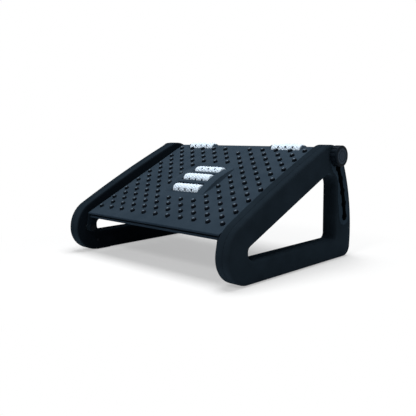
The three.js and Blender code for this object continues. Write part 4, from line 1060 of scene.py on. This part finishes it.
# %% Floor
glow_distance, glow_share, floor_half = (0.22, 0.5), (0.42, 1.0), 9
floor_finish = bpy.data.materials.new("pale_floor")
floor_finish.use_nodes = True
tree = floor_finish.node_tree
paint = tree.nodes["Principled BSDF"]
fill(tree, paint, {"Base Color": (0.88, 0.88, 0.88, 1), "Roughness": 0.9, "Specular IOR Level": 0.1})
distance = add(tree, "VectorMath", {0: add(tree, "TexCoord", {}, "Object")}, "Value", operation="LENGTH")
fade = {"Value": distance, "From Min": glow_distance[0], "From Max": glow_distance[1],
        "To Min": glow_share[0], "To Max": glow_share[1]}
share = add(tree, "MapRange", fade, "Result", interpolation_type="SMOOTHSTEP")
fill(tree, tree.nodes["Material Output"], {"Surface": camera_white(tree, paint.outputs[0], share)})
floor_mesh = bpy.data.meshes.new("floor")
floor_corners = [(floor_half * x, floor_half * y, 0) for x, y in ((-1, -1), (1, -1), (1, 1), (-1, 1))]
floor_mesh.from_pydata(floor_corners, [], [(0, 1, 2, 3)])
floor_mesh.materials.append(floor_finish)
floor = bpy.data.objects.new("floor", floor_mesh)
bpy.context.scene.collection.objects.link(floor)
print("the floor's glow grows over", glow_distance, "m by shares of", glow_share)


# %% Lights
def stand(thing, place, back, roll=0.0):
    """Puts a light or a camera at a place, with its back direction. Its right direction is the level
    one times the roll's cosine plus the upright one times its sine, and up is square to both. These
    three are the columns of its matrix."""
    bpy.context.scene.collection.objects.link(thing)
    level = unit(np.cross((0, 0, 1), back))
    upright = np.cross(back, level)
    right = math.cos(roll) * level + math.sin(roll) * upright
    up = math.cos(roll) * upright - math.sin(roll) * level
    matrix = np.eye(4)
    matrix[:3, :3] = np.stack([right, up, back], axis=1)
    matrix[:3, 3] = place
    thing.matrix_world = Matrix(matrix.tolist())


def softbox(name, place, target, size, power):
    """A square area light at a place, facing a target."""
    lamp = bpy.data.lights.new(name, "AREA")
    lamp.size = size
    lamp.energy = power
    stand(bpy.data.objects.new(name, lamp), place, unit(np.array(place, float) - np.array(target, float)))
    print(f"{name}: {size} m wide, {power} W")


object_middle = (0, 0, 0.1)
softbox("overhead", (0.0, 0.1, 1.95), object_middle, 1.2, 38)
softbox("front", (0.4, -1.6, 1.5), object_middle, 0.4, 11)
softbox("right", (2.1, 0.2, 0.9), object_middle, 1.0, 3)

# %% Camera
azimuth, elevation, roll = math.radians(45.0), math.radians(8.06), math.radians(-0.73)
picture_width, focal_pixels = 416, 565.49
camera_place = np.array([794.16, -787.43, 250.05]) * MM
camera_back = np.array([math.sin(azimuth) * math.cos(elevation), -math.cos(azimuth) * math.cos(elevation),
                        math.sin(elevation)])
lens = bpy.data.cameras.new("camera")
lens.sensor_width = 36.0
lens.lens = focal_pixels / picture_width * lens.sensor_width
camera = bpy.data.objects.new("camera", lens)
stand(camera, camera_place, camera_back, roll)
bpy.context.scene.camera = camera
bpy.context.scene.view_settings.view_transform = "Standard"
print("lens:", round(lens.lens, 1), "mm, camera", round(float(np.linalg.norm(camera_place)), 2), "m away")
